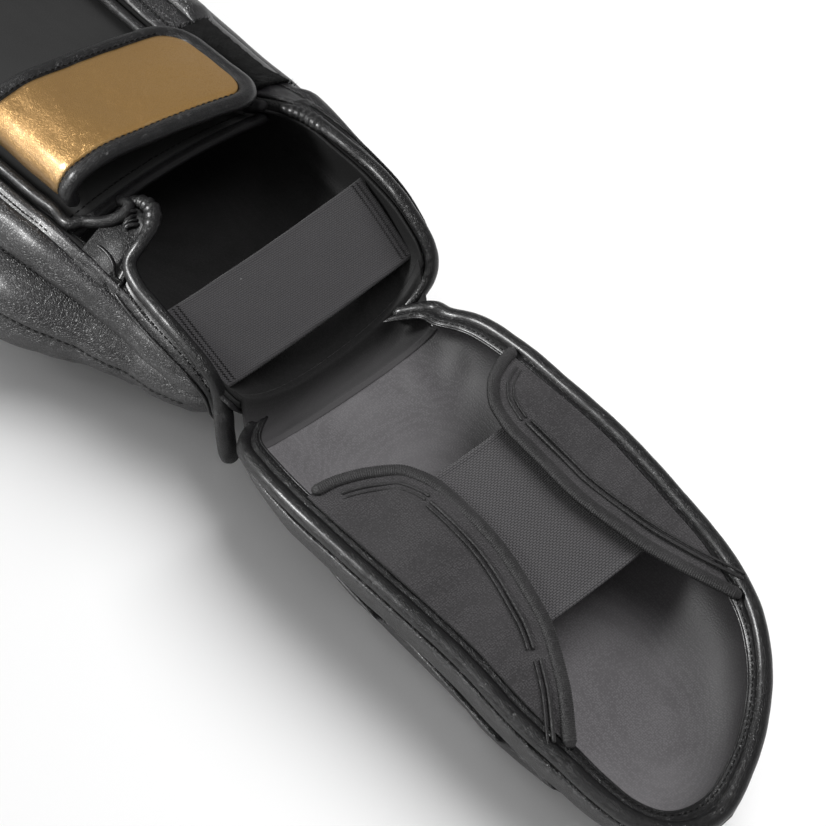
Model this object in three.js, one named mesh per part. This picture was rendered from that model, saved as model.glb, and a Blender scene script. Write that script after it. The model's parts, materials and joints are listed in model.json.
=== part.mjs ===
// Shin and instep guard for kick boxing, lying on its padded front with the leg opening up.
// Millimetres. +Z is up and +X runs from the knee to the toes. Each half is drawn in its own frame,
// whose origin is the ankle crease, and is then tilted into the place where it lies on the ground.
import * as THREE from "three";

// ---- driving dimensions ----
const shinLength = 330;
const creaseHeight = 45; // crease above the ground
const shinPitch = 4; // degrees; the shin half rises towards the ankle
const shinYaw = 3; // degrees; the toe-out between the two halves
const footPitch = 6; // degrees; the foot half falls towards the toes
const footStart = 16; // first section of the foot half
const footTip = 227; // last section of the foot half
const toeStart = 140; // where the toe end begins to close
const corner = 0.85; // exponent that squares the sections off a little
const gap = 0.45; // clearance between touching pieces
const lining = 1.5;
const cover = 1.6;
const ankleRimRadius = 3.4;
const footRimRadius = 4.2;
const pipingRadius = 2.4;
const strapThickness = 5;

const radians = THREE.MathUtils.degToRad;
const point = (x, y, z) => new THREE.Vector3(x, y, z);

// Monotone cubic curve through [position, value] knots.
function profile(...knots) {
  const slopes = knots.slice(1).map(([x, y], i) => (y - knots[i][1]) / (x - knots[i][0]));
  const tangents = knots.map((_, i) => {
    if (i === 0) return slopes[0];
    if (i === slopes.length) return slopes[i - 1];
    const [a, b] = [slopes[i - 1], slopes[i]];
    return a * b <= 0 ? 0 : (2 * a * b) / (a + b);
  });
  return (x) => {
    const last = knots.length - 2;
    let i = 0;
    while (i < last && x > knots[i + 1][0]) i++;
    const width = knots[i + 1][0] - knots[i][0];
    const t = THREE.MathUtils.clamp((x - knots[i][0]) / width, 0, 1);
    return (
      (2 * t ** 3 - 3 * t ** 2 + 1) * knots[i][1] +
      (t ** 3 - 2 * t ** 2 + t) * width * tangents[i] +
      (3 * t ** 2 - 2 * t ** 3) * knots[i + 1][1] +
      (t ** 3 - t ** 2) * width * tangents[i + 1]
    );
  };
}

const squared = (value) => Math.sign(value) * Math.abs(value) ** corner;

// ---- the shin half's inner surface: a U that the leg lies in ----
const shinLeftWidth = profile([0, 50], [45, 50], [70, 54], [110, 64], [200, 67], [330, 65]);
const shinRightWidth = profile([0, 48], [45, 52], [80, 52], [200, 54], [330, 56]);
const shinBottom = profile([0, -14], [60, -17], [100, -16], [200, -11], [330, -4]);
const shinDepth = profile([0, 30], [60, 33], [120, 33], [330, 32]);
const leftWingDepth = profile([0, 30], [70, 30], [110, 24], [330, 24]);
const rightWingDepth = profile([0, 30], [60, 29], [110, 11], [330, 13]);
const leftEdgeAngle = profile([0, 72], [8, 84], [25, 94], [45, 100], [75, 112], [105, 122], [330, 122]);
const rightEdgeAngle = profile([0, 72], [8, 84], [25, 94], [45, 100], [70, 111], [110, 140], [330, 138]);

function shinSkin(s, v) {
  const reach = THREE.MathUtils.smoothstep(v, 0.78, 1); // the right wing wraps further round
  const angle = radians(v * leftEdgeAngle(s) + reach * (rightEdgeAngle(s) - leftEdgeAngle(s)));
  const width = v < 0 ? shinLeftWidth(s) : shinRightWidth(s);
  const wing = v < 0 ? leftWingDepth(s) : rightWingDepth(s);
  const depth = Math.cos(angle) > 0 ? shinDepth(s) : wing;
  const middle = shinBottom(s) + shinDepth(s);
  return point(-s, width * squared(Math.sin(angle)), middle - depth * squared(Math.cos(angle)));
}

// ---- the foot half's inner surface: a spoon that closes round the toes ----
const footLeftSide = profile([16, 49], [30, 51], [50, 51], [90, 50], [toeStart, 47]);
const footRightSide = profile([16, 41], [28, 47], [50, 50], [90, 50], [toeStart, 47]);
const footMiddle = profile([16, -6], [50, -6], [90, -4], [140, -2], [187, -5], [206, -11], [227, -21]);
const footRim = profile([16, -5], [30, 1], [60, 8], [110, 13], [170, 14], [227, 10]);
const footHollow = profile([16, 10], [30, 17], [60, 24], [110, 27], [170, 26], [227, 24]);

const footSide = (x, v) => (v < 0 ? footLeftSide(x) : footRightSide(x));

function toeShare(x) {
  return Math.sqrt(1 - THREE.MathUtils.clamp((x - toeStart) / (footTip + 1 - toeStart), 0, 1) ** 2.2);
}

function footSkin(x, v) {
  const angle = radians(v * 88);
  const width = footSide(x, v) * toeShare(x);
  const depth = footHollow(x) * toeShare(x) ** 0.8;
  const y = footMiddle(x) + width * squared(Math.sin(angle));
  return point(x, y, footRim(x) - depth * squared(Math.cos(angle)));
}

// A point at distance d outside a skin, along its normal.
function outside(skin, turn) {
  return (u, v, d) => {
    const step = 0.4;
    const along = skin(u + step, v).sub(skin(u - step, v));
    const across = skin(u, v + 0.004).sub(skin(u, v - 0.004));
    const normal = along.cross(across).normalize().multiplyScalar(turn);
    return skin(u, v).addScaledVector(normal, d);
  };
}

const shinAt = outside(shinSkin, 1);
const footAt = outside(footSkin, -1);

// ---- solids ----

// Turns an indexed surface so that its faces point outwards.
function outward(positions, index) {
  let volume = 0;
  for (let i = 0; i < index.length; i += 3) {
    const [a, b, c] = [positions[index[i]], positions[index[i + 1]], positions[index[i + 2]]];
    volume += a.dot(b.clone().cross(c));
  }
  if (volume < 0) index.reverse();
  const geometry = new THREE.BufferGeometry().setFromPoints(positions);
  geometry.setIndex(index);
  geometry.computeVertexNormals();
  return geometry;
}

// A closed sheet between two surfaces that share one grid: us by vs points.
function slab(us, vs, lower, upper) {
  const positions = [lower, upper].flatMap((place) => us.flatMap((u) => vs.map((v) => place(u, v))));
  const [rows, columns] = [us.length, vs.length];
  const at = (side, i, j) => side * rows * columns + i * columns + j;
  const index = [];
  const quad = (a, b, c, d) => index.push(a, b, c, a, c, d);
  for (let i = 0; i < rows - 1; i++)
    for (let j = 0; j < columns - 1; j++) {
      quad(at(0, i, j), at(0, i, j + 1), at(0, i + 1, j + 1), at(0, i + 1, j));
      quad(at(1, i, j), at(1, i + 1, j), at(1, i + 1, j + 1), at(1, i, j + 1));
    }
  for (let i = 0; i < rows - 1; i++) {
    quad(at(0, i, 0), at(0, i + 1, 0), at(1, i + 1, 0), at(1, i, 0));
    quad(at(0, i + 1, columns - 1), at(0, i, columns - 1), at(1, i, columns - 1), at(1, i + 1, columns - 1));
  }
  for (let j = 0; j < columns - 1; j++) {
    quad(at(0, 0, j + 1), at(0, 0, j), at(1, 0, j), at(1, 0, j + 1));
    quad(at(0, rows - 1, j), at(0, rows - 1, j + 1), at(1, rows - 1, j + 1), at(1, rows - 1, j));
  }
  return outward(positions, index);
}

// A cord of piping or binding along a smooth curve. Its section is an ellipse of the two radii.
function tube(points, radius, steps, otherRadius = radius, sides = 8) {
  const outline = Array.from({ length: sides }, (_, i) => {
    const angle = (2 * Math.PI * (i + 0.5)) / sides;
    return new THREE.Vector2(radius * Math.cos(angle), otherRadius * Math.sin(angle));
  });
  return new THREE.ExtrudeGeometry(new THREE.Shape(outline), {
    steps,
    bevelEnabled: false,
    extrudePath: new THREE.CatmullRomCurve3(points, false, "centripetal"),
  });
}

const mirrored = (values) => [...values.slice(1).reverse().map((v) => -v), ...values];

// ---- looks ----
const materials = {
  leather: { color: 0x1c1b1d, roughness: 0.42 },
  piping: { color: 0x161518, roughness: 0.35 },
  lining: { color: 0x3a393b, roughness: 0.85 },
  foam: { color: 0x2a2a2a, roughness: 0.95 },
  elastic: { color: 0x3f3d40, roughness: 0.9 },
  panel: { color: 0x363637, roughness: 0.8 },
  fabric: { color: 0x383639, roughness: 0.95 },
  hook: { color: 0x0f0f10, roughness: 1 },
  gold: { color: 0xb08442, roughness: 0.3, metalness: 0.7 },
};

function piece(group, name, look, geometry) {
  const mesh = new THREE.Mesh(geometry, new THREE.MeshStandardMaterial(materials[look]));
  mesh.name = name;
  group.add(mesh);
}

// ---- the layers of the two shells ----
const shinStations = [0, 5, 12, 25, 45, 60, 75, 90, 110, 130, 190, 250, 300, shinLength];
const shinLines = mirrored([0, 0.15, 0.3, 0.42, 0.48, 0.5, 0.61, 0.7, 0.78, 0.84, 0.9, 1]);
const footStations = [footStart, 30, 50, 75, 105, 140, 165, 185, 202, 214, 223, footTip];
const footLines = mirrored([0, 0.2, 0.42, 0.58, 0.76, 1]);

const rounded = (v) => 1 - Math.abs(v) ** 4;
const shinThinning = profile([0, 0.3], [40, 1], [300, 1], [330, 0.75]);
const footThinning = profile([16, 0.25], [55, 1], [190, 1], [227, 0.5]);
const shinFoam = (s, v) => (3.6 + 7.4 * rounded(v)) * shinThinning(s);
const footFoam = (x, v) => (3.4 + 5.6 * rounded(v)) * footThinning(x);
const shinOuter = (s, v) => lining + gap + shinFoam(s, v) + gap + cover;
const footOuter = (x, v) => lining + gap + footFoam(x, v) + gap + cover;

function shell(group, prefix, at, stations, lines, foam, outer) {
  const offset = (distance) => (u, v) => at(u, v, distance(u, v));
  const inner = () => 0;
  const liningTop = () => lining;
  const foamLow = () => lining + gap;
  const foamTop = (u, v) => lining + gap + foam(u, v);
  const coverLow = (u, v) => outer(u, v) - cover;
  piece(group, prefix + "_lining", "lining", slab(stations, lines, offset(inner), offset(liningTop)));
  piece(group, prefix + "_foam_core", "foam", slab(stations, lines, offset(foamLow), offset(foamTop)));
  piece(group, prefix + "_outer_cover", "leather", slab(stations, lines, offset(coverLow), offset(outer)));
}

// A pad sewn onto a shell: it swells from its edges to height(u, v).
function pad(at, outer, us, vs, height) {
  return slab(
    us,
    vs,
    (u, v) => at(u, v, outer(u, v) + gap),
    (u, v) => at(u, v, outer(u, v) + gap + height(u, v)),
  );
}

// Height that brings a pad's outer face down to the ground, in a half tilted by pitch degrees.
function groundReach(at, outer, pitch) {
  const slope = Math.tan(radians(pitch));
  const drop = creaseHeight / Math.cos(radians(pitch));
  return (u, v) => {
    const start = at(u, v, outer(u, v) + gap);
    const end = at(u, v, outer(u, v) + gap + 1);
    const clearance = (q) => q.z + drop + q.x * slope;
    return clearance(start) / (clearance(start) - clearance(end));
  };
}

// ---- shin half ----
const shin = new THREE.Group();
shell(shin, "shin", shinAt, shinStations, shinLines, shinFoam, shinOuter);

const shinReach = groundReach(shinAt, shinOuter, shinPitch);
const frontLines = mirrored([0, 0.15, 0.3, 0.42, 0.48]);
const frontEdge = { 0.3: 9, 0.42: 9, 0.48: 8 };
const frontBulk = {
  left: profile([20, 0.7], [58, 1.1], [100, 2], [322, 2]),
  right: profile([20, 0.5], [322, 0.5]),
};
const frontPads = [
  [20, 25, 45, 58],
  [62, 75, 90, 110, 128],
  [132, 188],
  [192, 248],
  [252, 300, 322],
];
frontPads.forEach((stations, i) => {
  const middle = (s, v) => shinReach(s, v) - (i === 0 ? 6 : 0);
  const edge = (s, v) => frontEdge[Math.abs(v)] * frontBulk[v < 0 ? "left" : "right"](s);
  const height = (s, v) => (Math.abs(v) in frontEdge ? Math.min(edge(s, v), shinReach(s, v)) : middle(s, v));
  piece(shin, "shin_front_pad_" + (i + 1), "leather", pad(shinAt, shinOuter, stations, frontLines, height));
});

const bolsterStations = [12, 25, 45, 60, 75, 90, 110, 130, 190, 250, 300, 322];
const bolsterShare = { 0.5: 0.8, 0.61: 1, 0.7: 0.75, 0.78: 0.2 };
const bolsterHeight = {
  left: profile([12, 6], [45, 9], [70, 13], [110, 20], [250, 20], [322, 13]),
  right: profile([12, 6], [110, 5], [322, 5]),
};
for (const [side, turn] of [["left", -1], ["right", 1]]) {
  const lines = (values) => values.map((v) => v * turn).sort((a, b) => a - b);
  const bigHeight = (s, v) => bolsterShare[Math.abs(v)] * bolsterHeight[side](s);
  const big = pad(shinAt, shinOuter, bolsterStations, lines([0.5, 0.61, 0.7, 0.78]), bigHeight);
  const slimHeight = (s, v) => (Math.abs(v) === 0.84 ? 3.6 : 1.2);
  const slim = pad(shinAt, shinOuter, bolsterStations, lines([0.81, 0.84, 0.88]), slimHeight);
  piece(shin, "side_bolster_" + side, "leather", big);
  piece(shin, "upper_bolster_" + side, "leather", slim);
}

// The rim of a half: a line just beyond its side edge, at the middle of the wall.
const shinRim = (s, side, radius) => {
  const middle = shinOuter(s, 1) / 2;
  const edge = shinAt(s, side, middle);
  const along = shinAt(s + 2, side, middle).sub(shinAt(s - 2, side, middle)).normalize();
  const beyond = edge.clone().sub(shinAt(s, side * 0.97, middle));
  beyond.addScaledVector(along, -beyond.dot(along)).normalize();
  return edge.addScaledVector(beyond, radius + 1.2);
};
const earFront = (v, side, forward, flare) => {
  const middle = shinAt(0, side * v, shinOuter(0, v) / 2);
  return middle.add(point(forward, side * flare, -flare));
};

for (const [side, turn] of [["left", -1], ["right", 1]]) {
  const alongEdge = [76, 60, 45, 33, 22, 12, 5].map((s) => shinRim(s, turn, ankleRimRadius));
  const downFront = [
    earFront(0.96, turn, 5.4, 1.5),
    earFront(0.86, turn, 5.4, 4),
    earFront(0.78, turn, 5.4, 7),
  ];
  piece(shin, "ankle_rim_" + side, "piping", tube([...alongEdge, ...downFront], ankleRimRadius, 24));
  const calfEdge = [92, 110, 130, 190, 250, 300, 328].map((s) => shinRim(s, turn, pipingRadius));
  piece(shin, "calf_piping_" + side, "piping", tube(calfEdge, pipingRadius, 18, pipingRadius, 6));
}

// Binding round the knee end.
const kneeEdge = shinLines.filter((v) => Math.abs(v) < 0.95);
const kneePath = kneeEdge.map((v) => {
  return shinAt(shinLength, v, shinOuter(shinLength, v) / 2).add(point(-footRimRadius - 1.2, 0, 0));
});
piece(shin, "knee_binding", "piping", tube(kneePath, footRimRadius, 24));

// Soft panel that closes the back of the calf, with a bound lower edge.
const panelStart = 94;
const panelEnd = 322;
const panelThickness = 1.8;
const panelBow = 6;
function panelPoint(s, t, lift) {
  const inset = 0.95;
  const left = shinAt(s, -inset, -2);
  const right = shinAt(s, inset, -2);
  const bow = panelBow * (1 - (2 * t - 1) ** 2);
  return left.lerp(right, t).add(point(0, 0, bow + lift));
}
const panelTurns = [0, 0.2, 0.4, 0.6, 0.8, 1];
piece(
  shin,
  "calf_panel",
  "panel",
  slab(
    [panelStart, 110, 130, 190, 250, 300, panelEnd],
    panelTurns,
    (s, t) => panelPoint(s, t, -panelThickness / 2),
    (s, t) => panelPoint(s, t, panelThickness / 2),
  ),
);
const panelEdge = [0.02, 0.2, 0.4, 0.6, 0.8, 0.98].map((t) =>
  panelPoint(panelStart, t, 0).add(point(3.2, 0, 0)),
);
piece(shin, "calf_panel_binding", "piping", tube(panelEdge, 2.6, 12));

// Elastic band behind the ankle.
const bandThickness = 1.5;
const bandStart = point(-8, 0, 3);
const bandEnd = point(-41, 0, 20);
function bandPoint(u, t, lift) {
  const base = bandStart.clone().lerp(bandEnd, u);
  const left = -shinLeftWidth(-base.x) + 3.6;
  const right = shinRightWidth(-base.x) - 3.6;
  const sag = 1.5 * (1 - (2 * t - 1) ** 2);
  return point(base.x, THREE.MathUtils.lerp(left, right, t), base.z - sag + lift);
}
piece(
  shin,
  "ankle_elastic",
  "elastic",
  slab(
    [0, 0.5, 1],
    [0, 0.25, 0.5, 0.75, 1],
    (u, t) => bandPoint(u, t, -bandThickness / 2),
    (u, t) => bandPoint(u, t, bandThickness / 2),
  ),
);

// Soft hinge between the halves: an outer skin and a lining across the crease.
const creaseLift = new THREE.Matrix4().makeTranslation(0, 0, creaseHeight);
const shinFrame = new THREE.Matrix4()
  .makeRotationY(radians(-shinPitch))
  .premultiply(new THREE.Matrix4().makeRotationZ(radians(shinYaw)))
  .premultiply(creaseLift);
const footFrame = new THREE.Matrix4().makeRotationY(radians(footPitch)).premultiply(creaseLift);
function hingePoint(u, v, shinDistance, footDistance) {
  const start = shinAt(0, v, shinDistance).applyMatrix4(shinFrame);
  const end = footAt(footStart, v, footDistance).applyMatrix4(footFrame);
  return start.lerp(end, u);
}
function hingeSheet(lines, shinDistance, footDistance, thickness) {
  return slab(
    [0.05, 0.35, 0.65, 0.95],
    lines,
    (u, v) => hingePoint(u, v, shinDistance, footDistance),
    (u, v) => hingePoint(u, v, shinDistance + thickness, footDistance + thickness),
  );
}
const hinge = new THREE.Group();
const hingeLiningLines = mirrored([0, 0.2, 0.42, 0.58, 0.72]);
const hingeCoverLines = mirrored([0, 0.2, 0.42, 0.58, 0.7]);
piece(hinge, "ankle_hinge_lining", "lining", hingeSheet(hingeLiningLines, 0, 0, lining));
piece(hinge, "ankle_hinge_cover", "leather", hingeSheet(hingeCoverLines, 4.4, 4.2, cover));

// ---- closure straps ----
const patchThickness = 1.6;
const strapSlant = 7;
const strapKnots = [
  [-48, 42],
  [-50, 47],
  [-46, 52.5],
  [-37, 55],
  [-10, 52.5],
  [14, 48],
  [30, 44],
  [43, 39.5],
];

function strap(group, prefix, start, end, widen, raise) {
  const border = 8;
  const knots = strapKnots.map(([y, z]) => point(0, y * widen, z + raise));
  const path = new THREE.CatmullRomCurve3(knots, false, "centripetal");
  // A point of the strap: x across its width, t along it, lift away from its middle surface.
  const strapPoint = (x, t, lift) => {
    const tangent = path.getTangent(t);
    const normal = point(0, -tangent.z, tangent.y);
    return path.getPoint(t).addScaledVector(normal, lift).setX(x + strapSlant * t);
  };
  const turns = [0, 0.1, 0.2, 0.3, 0.4, 0.55, 0.7, 0.82, 0.91];
  const across = [-end + border, -start - border];
  const half = strapThickness / 2;
  const layer = (values, low, high) =>
    slab(
      across,
      values,
      (x, t) => strapPoint(x, t, low),
      (x, t) => strapPoint(x, t, high),
    );
  piece(group, prefix + "_face", "gold", layer(turns, 0.4, half));
  piece(group, prefix + "_backing", "leather", layer(turns, -half, 0));
  const tip = 0.965;
  const low = -end + border / 2 - 0.5;
  const high = -start - border / 2 + 0.5;
  const edge = [
    ...turns.map((t) => strapPoint(low, t, 0)),
    strapPoint(low + 5, tip, 0),
    strapPoint((low + high) / 2, tip, 0),
    strapPoint(high - 5, tip, 0),
    ...turns.toReversed().map((t) => strapPoint(high, t, 0)),
  ];
  piece(group, prefix + "_binding", "piping", tube(edge, border / 2 - 0.6, 44, half + 0.4));
}

// Loop patch on the right wing, under the strap's end.
function loopPatch(group, name, start, end) {
  const stations = [start, (start + end) / 2, end];
  const height = () => patchThickness;
  piece(group, name, "hook", pad(shinAt, shinOuter, stations, [0.9, 0.94, 0.985], height));
}

const lowerStrap = new THREE.Group();
strap(lowerStrap, "lower_strap", 90, 154, 1, 0);
loopPatch(shin, "lower_loop_patch", 94, 146);
const upperStrap = new THREE.Group();
strap(upperStrap, "upper_strap", 236, 300, 1.12, 7.5);
loopPatch(shin, "upper_loop_patch", 240, 292);

// ---- foot half ----
const foot = new THREE.Group();
shell(foot, "foot", footAt, footStations, footLines, footFoam, footOuter);

const footReach = groundReach(footAt, footOuter, -footPitch);
const centreStations = [64, 75, 105, 140, 165, 185];
piece(
  foot,
  "foot_centre_pad",
  "leather",
  pad(footAt, footOuter, centreStations, [-0.18, 0, 0.18], footReach),
);
const sideStations = [62, 75, 105, 140, 165, 185, 198];
for (const [side, turn] of [["left", -1], ["right", 1]]) {
  const lines = [0.24, 0.42, 0.58, 0.74].map((v) => v * turn).sort((a, b) => a - b);
  const swell = { 0.24: 3, 0.42: 8, 0.58: 7.5, 0.74: 3 };
  const ends = profile([62, 0.7], [80, 1], [170, 1], [198, 0.5]);
  const height = (x, v) => Math.min(swell[Math.abs(v)] * ends(x), footReach(x, v));
  piece(foot, "foot_side_pad_" + side, "leather", pad(footAt, footOuter, sideStations, lines, height));
}

// Rolled rim: along one side, round the toes and back along the other.
function footRimPoint(x, side) {
  const middle = footOuter(x, 1) / 2;
  const edge = footAt(x, side, middle);
  return edge.add(point(0, 0, footRimRadius + 1.4));
}
const rimStations = [20, 30, 50, 75, 105, 140, 165, 185, 202, 214, 223];
const toeTip = footAt(footTip, 0, footOuter(footTip, 1) / 2);
const rimPath = [
  ...rimStations.map((x) => footRimPoint(x, -1)),
  point(footTip + footRimRadius + 0.6, toeTip.y, footRimPoint(223, 1).z - 2),
  ...rimStations.toReversed().map((x) => footRimPoint(x, 1)),
];
piece(foot, "foot_rim", "piping", tube(rimPath, footRimRadius, 56));

// Sole wings: stretch fabric from each side of the rim, with a bound free edge.
const wingThickness = 2;
const wingLift = 4.5;
const wingStations = [60, 68, 82, 105, 140, 165, 182];
const leftFree = profile([60, -37], [68, -23], [82, -17], [105, -16], [140, -22], [165, -33], [182, -43]);
const rightFree = profile([60, 32], [68, 23], [82, 19], [110, 18], [140, 20], [165, 27], [182, 36]);
const wingEdge = (x, side) => footMiddle(x) + side * (footSide(x, side) * toeShare(x) - 1.8);
function wingPoint(x, t, side, lift) {
  const free = side < 0 ? leftFree(x) : rightFree(x);
  const y = THREE.MathUtils.lerp(wingEdge(x, side), free, t);
  return point(x, y, footRim(x) + wingLift + 1.5 * t + lift);
}
for (const [side, turn] of [["left", -1], ["right", 1]]) {
  piece(
    foot,
    "sole_wing_" + side,
    "fabric",
    slab(
      wingStations,
      [0, 0.5, 1],
      (x, t) => wingPoint(x, t, turn, -wingThickness / 2),
      (x, t) => wingPoint(x, t, turn, wingThickness / 2),
    ),
  );
  const binding = wingStations.map((x) => wingPoint(x, 1, turn, 0).add(point(0, -turn * 3.2, 0)));
  binding[0].x -= 1.5;
  binding[binding.length - 1].x += 1.5;
  piece(foot, "sole_wing_binding_" + side, "elastic", tube(binding, 2.2, 20, 1.6, 6));
}

// Ribbed elastic under the arch of the foot, sewn below the wings' free edges.
const soleStart = 74;
const soleEnd = 145;
const soleThickness = 1.6;
function solePoint(x, t, lift) {
  const y = THREE.MathUtils.lerp(leftFree(x) - 7, rightFree(x) + 7, t);
  const sag = 2 * (1 - (2 * t - 1) ** 2);
  return point(x, y, footRim(x) + wingLift - 2.6 - sag + lift);
}
piece(
  foot,
  "sole_elastic",
  "elastic",
  slab(
    [soleStart, 82, 105, soleEnd],
    [0, 0.25, 0.5, 0.75, 1],
    (x, t) => solePoint(x, t, -soleThickness / 2),
    (x, t) => solePoint(x, t, soleThickness / 2),
  ),
);

// ---- the whole guard ----
for (const half of [shin, lowerStrap, upperStrap]) half.applyMatrix4(shinFrame);
foot.applyMatrix4(footFrame);
const guard = new THREE.Group().add(shin, hinge, lowerStrap, upperStrap, foot);
guard.updateMatrixWorld(true);
const box = new THREE.Box3().setFromObject(guard, true);
const centre = box.getCenter(new THREE.Vector3());
guard.position.set(-centre.x, -centre.y, -box.min.z);

export default guard;
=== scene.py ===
import json
import math
import bpy
import bmesh
import numpy as np
from mathutils import Matrix, Vector


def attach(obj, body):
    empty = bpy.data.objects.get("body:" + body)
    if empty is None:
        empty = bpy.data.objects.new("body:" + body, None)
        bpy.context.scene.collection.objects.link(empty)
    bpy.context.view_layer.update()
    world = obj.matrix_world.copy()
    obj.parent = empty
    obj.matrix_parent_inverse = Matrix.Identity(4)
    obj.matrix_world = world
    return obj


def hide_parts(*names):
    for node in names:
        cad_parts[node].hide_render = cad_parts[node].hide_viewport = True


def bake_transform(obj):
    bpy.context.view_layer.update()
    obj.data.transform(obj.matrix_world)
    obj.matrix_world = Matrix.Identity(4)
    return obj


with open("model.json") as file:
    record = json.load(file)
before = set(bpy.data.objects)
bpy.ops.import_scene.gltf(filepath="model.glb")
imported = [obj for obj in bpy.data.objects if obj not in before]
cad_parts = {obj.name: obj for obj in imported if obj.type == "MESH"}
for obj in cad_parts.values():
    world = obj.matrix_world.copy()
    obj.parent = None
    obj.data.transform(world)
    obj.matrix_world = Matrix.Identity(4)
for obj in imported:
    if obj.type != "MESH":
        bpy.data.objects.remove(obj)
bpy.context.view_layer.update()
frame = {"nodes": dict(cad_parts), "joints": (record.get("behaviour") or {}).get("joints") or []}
print("frame loaded")

# Sizes are millimetres. Each half of the guard is drawn in its own frame, whose origin is the ankle crease.
guardSize = {
    "shinLength": 330,
    "shinPitch": 4,  # the shin half rises towards the ankle
    "shinYaw": 3,
    "footPitch": 6,  # the foot half falls towards the toes
    "footStart": 16,
    "footTip": 227,
    "toeStart": 140,
    "corner": 0.85,  # squares the sections off a little
    "lining": 1.5,
    "cover": 1.6,
    "ankleRim": 2.8,
    "footRim": 3.1,
    "piping": 2.5,
}
ankleJoint = next(j for j in frame["joints"] if j["name"] == "ankle_flex")
creaseToJoint = np.array([6.7, 0, -19.5])
crease = np.array(ankleJoint["pos_m"]) * 1000 - creaseToJoint


# shapes shared by the pieces
def cubic(t, width, values, slopes, i):  # from value i to the next one, keeping their slopes
    ends = (2 * t**3 - 3 * t**2 + 1) * values[i] + (3 * t**2 - 2 * t**3) * values[i + 1]
    return ends + width * ((t**3 - 2 * t**2 + t) * slopes[i] + (t**3 - t**2) * slopes[i + 1])


def curve(*knots):  # smooth curve with no overshoot through [position, value] knots
    xs, ys = np.array(knots, float).T
    slopes = np.diff(ys) / np.diff(xs)
    tangents = np.concatenate([slopes[:1], slopes[1:], slopes[-1:]])
    for i in range(1, len(slopes)):
        a, b = slopes[i - 1], slopes[i]
        tangents[i] = 0 if a * b <= 0 else 2 * a * b / (a + b)

    def at(x):
        x = np.asarray(x, float)
        i = np.clip(np.searchsorted(xs, x, side="right") - 1, 0, len(xs) - 2)
        width = xs[i + 1] - xs[i]
        t = np.clip((x - xs[i]) / width, 0, 1)
        return cubic(t, width, ys, tangents, i)

    return at


def squared(value):
    return np.sign(value) * np.abs(value) ** guardSize["corner"]


def stack(x, y, z):
    return np.stack(np.broadcast_arrays(x, y, z), axis=-1).astype(float)


def unit(vectors):
    return vectors / np.maximum(np.linalg.norm(vectors, axis=-1, keepdims=True), 1e-9)


def smoothStep(x, low, high):
    t = np.clip((np.asarray(x, float) - low) / (high - low), 0, 1)
    return t * t * (3 - 2 * t)


def hump(x, middle, width):  # a smooth bump of height 1
    return np.exp(-(((x - middle) / width) ** 2))


def ripple(a, b, seed=0.0):  # gentle uneven waves between -1 and 1
    warp = 0.9 * np.sin(0.7 * a + 1.3 * b + seed)
    waves = np.sin(1.9 * a + warp + 2.1 * seed) + 0.6 * np.sin(2.3 * b - 1.7 * a + 3.1 * seed + warp)
    return (waves + 0.5 * np.sin(4.1 * a + 3.3 * b + 5.7 * seed)) / 2.1


def halfTurn(pitch, yaw):
    turn = Matrix.Rotation(math.radians(yaw), 3, "Z") @ Matrix.Rotation(math.radians(-pitch), 3, "Y")
    return np.array(turn)


shinTurn = halfTurn(guardSize["shinPitch"], guardSize["shinYaw"])
footTurn = halfTurn(-guardSize["footPitch"], 0)


def onShin(points):
    return np.asarray(points) @ shinTurn.T + crease


def onFoot(points):
    return np.asarray(points) @ footTurn.T + crease


# The shin half's inner surface is a U that the leg lies in.
# s runs from the ankle to the knee, v from the left edge (-1) to the right one (1).
shinProfile = {
    "leftWidth": curve([0, 50], [45, 50], [70, 54], [110, 64], [200, 67], [330, 65]),
    "rightWidth": curve([0, 48], [45, 52], [80, 52], [200, 54], [330, 56]),
    "bottom": curve([0, -14], [60, -17], [100, -16], [200, -11], [330, -4]),
    "depth": curve([0, 30], [60, 33], [120, 33], [330, 32]),
    "leftWing": curve([0, 30], [70, 30], [110, 24], [330, 24]),
    "rightWing": curve([0, 30], [60, 29], [110, 11], [330, 13]),
    "leftEdge": curve([0, 72], [8, 84], [25, 94], [45, 100], [75, 112], [105, 122], [330, 122]),
    "rightEdge": curve([0, 72], [8, 84], [25, 94], [45, 100], [70, 111], [110, 140], [330, 138]),
    "thinning": curve([0, 0.3], [40, 1], [300, 1], [330, 0.75]),
}


def shinSkin(s, v):
    p = shinProfile
    reach = smoothStep(v, 0.78, 1)  # the right wing wraps further round
    angle = np.radians(v * p["leftEdge"](s) + reach * (p["rightEdge"](s) - p["leftEdge"](s)))
    width = np.where(v < 0, p["leftWidth"](s), p["rightWidth"](s))
    wing = np.where(v < 0, p["leftWing"](s), p["rightWing"](s))
    depth = np.where(np.cos(angle) > 0, p["depth"](s), wing)
    middle = p["bottom"](s) + p["depth"](s)
    return stack(-s, width * squared(np.sin(angle)), middle - depth * squared(np.cos(angle)))


# The foot half's inner surface is a spoon that closes round the toes: x runs to the toes.
footProfile = {
    "leftSide": curve([16, 49], [30, 51], [50, 51], [90, 50], [140, 47]),
    "rightSide": curve([16, 41], [28, 47], [50, 50], [90, 50], [140, 47]),
    "middle": curve([16, -6], [50, -6], [90, -4], [140, -2], [187, -5], [206, -11], [227, -21]),
    "rim": curve([16, -5], [30, 1], [60, 8], [110, 13], [170, 14], [227, 10]),
    "hollow": curve([16, 10], [30, 17], [60, 24], [110, 27], [170, 26], [227, 24]),
    "thinning": curve([16, 0.25], [55, 1], [190, 1], [227, 0.5]),
}


def toeShare(x):  # how far the sides have closed in round the toes: 1 before them, almost 0 at the tip
    t = np.clip((x - guardSize["toeStart"]) / (guardSize["footTip"] + 1 - guardSize["toeStart"]), 0, 1)
    return np.sqrt(1 - t**2.2)


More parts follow.
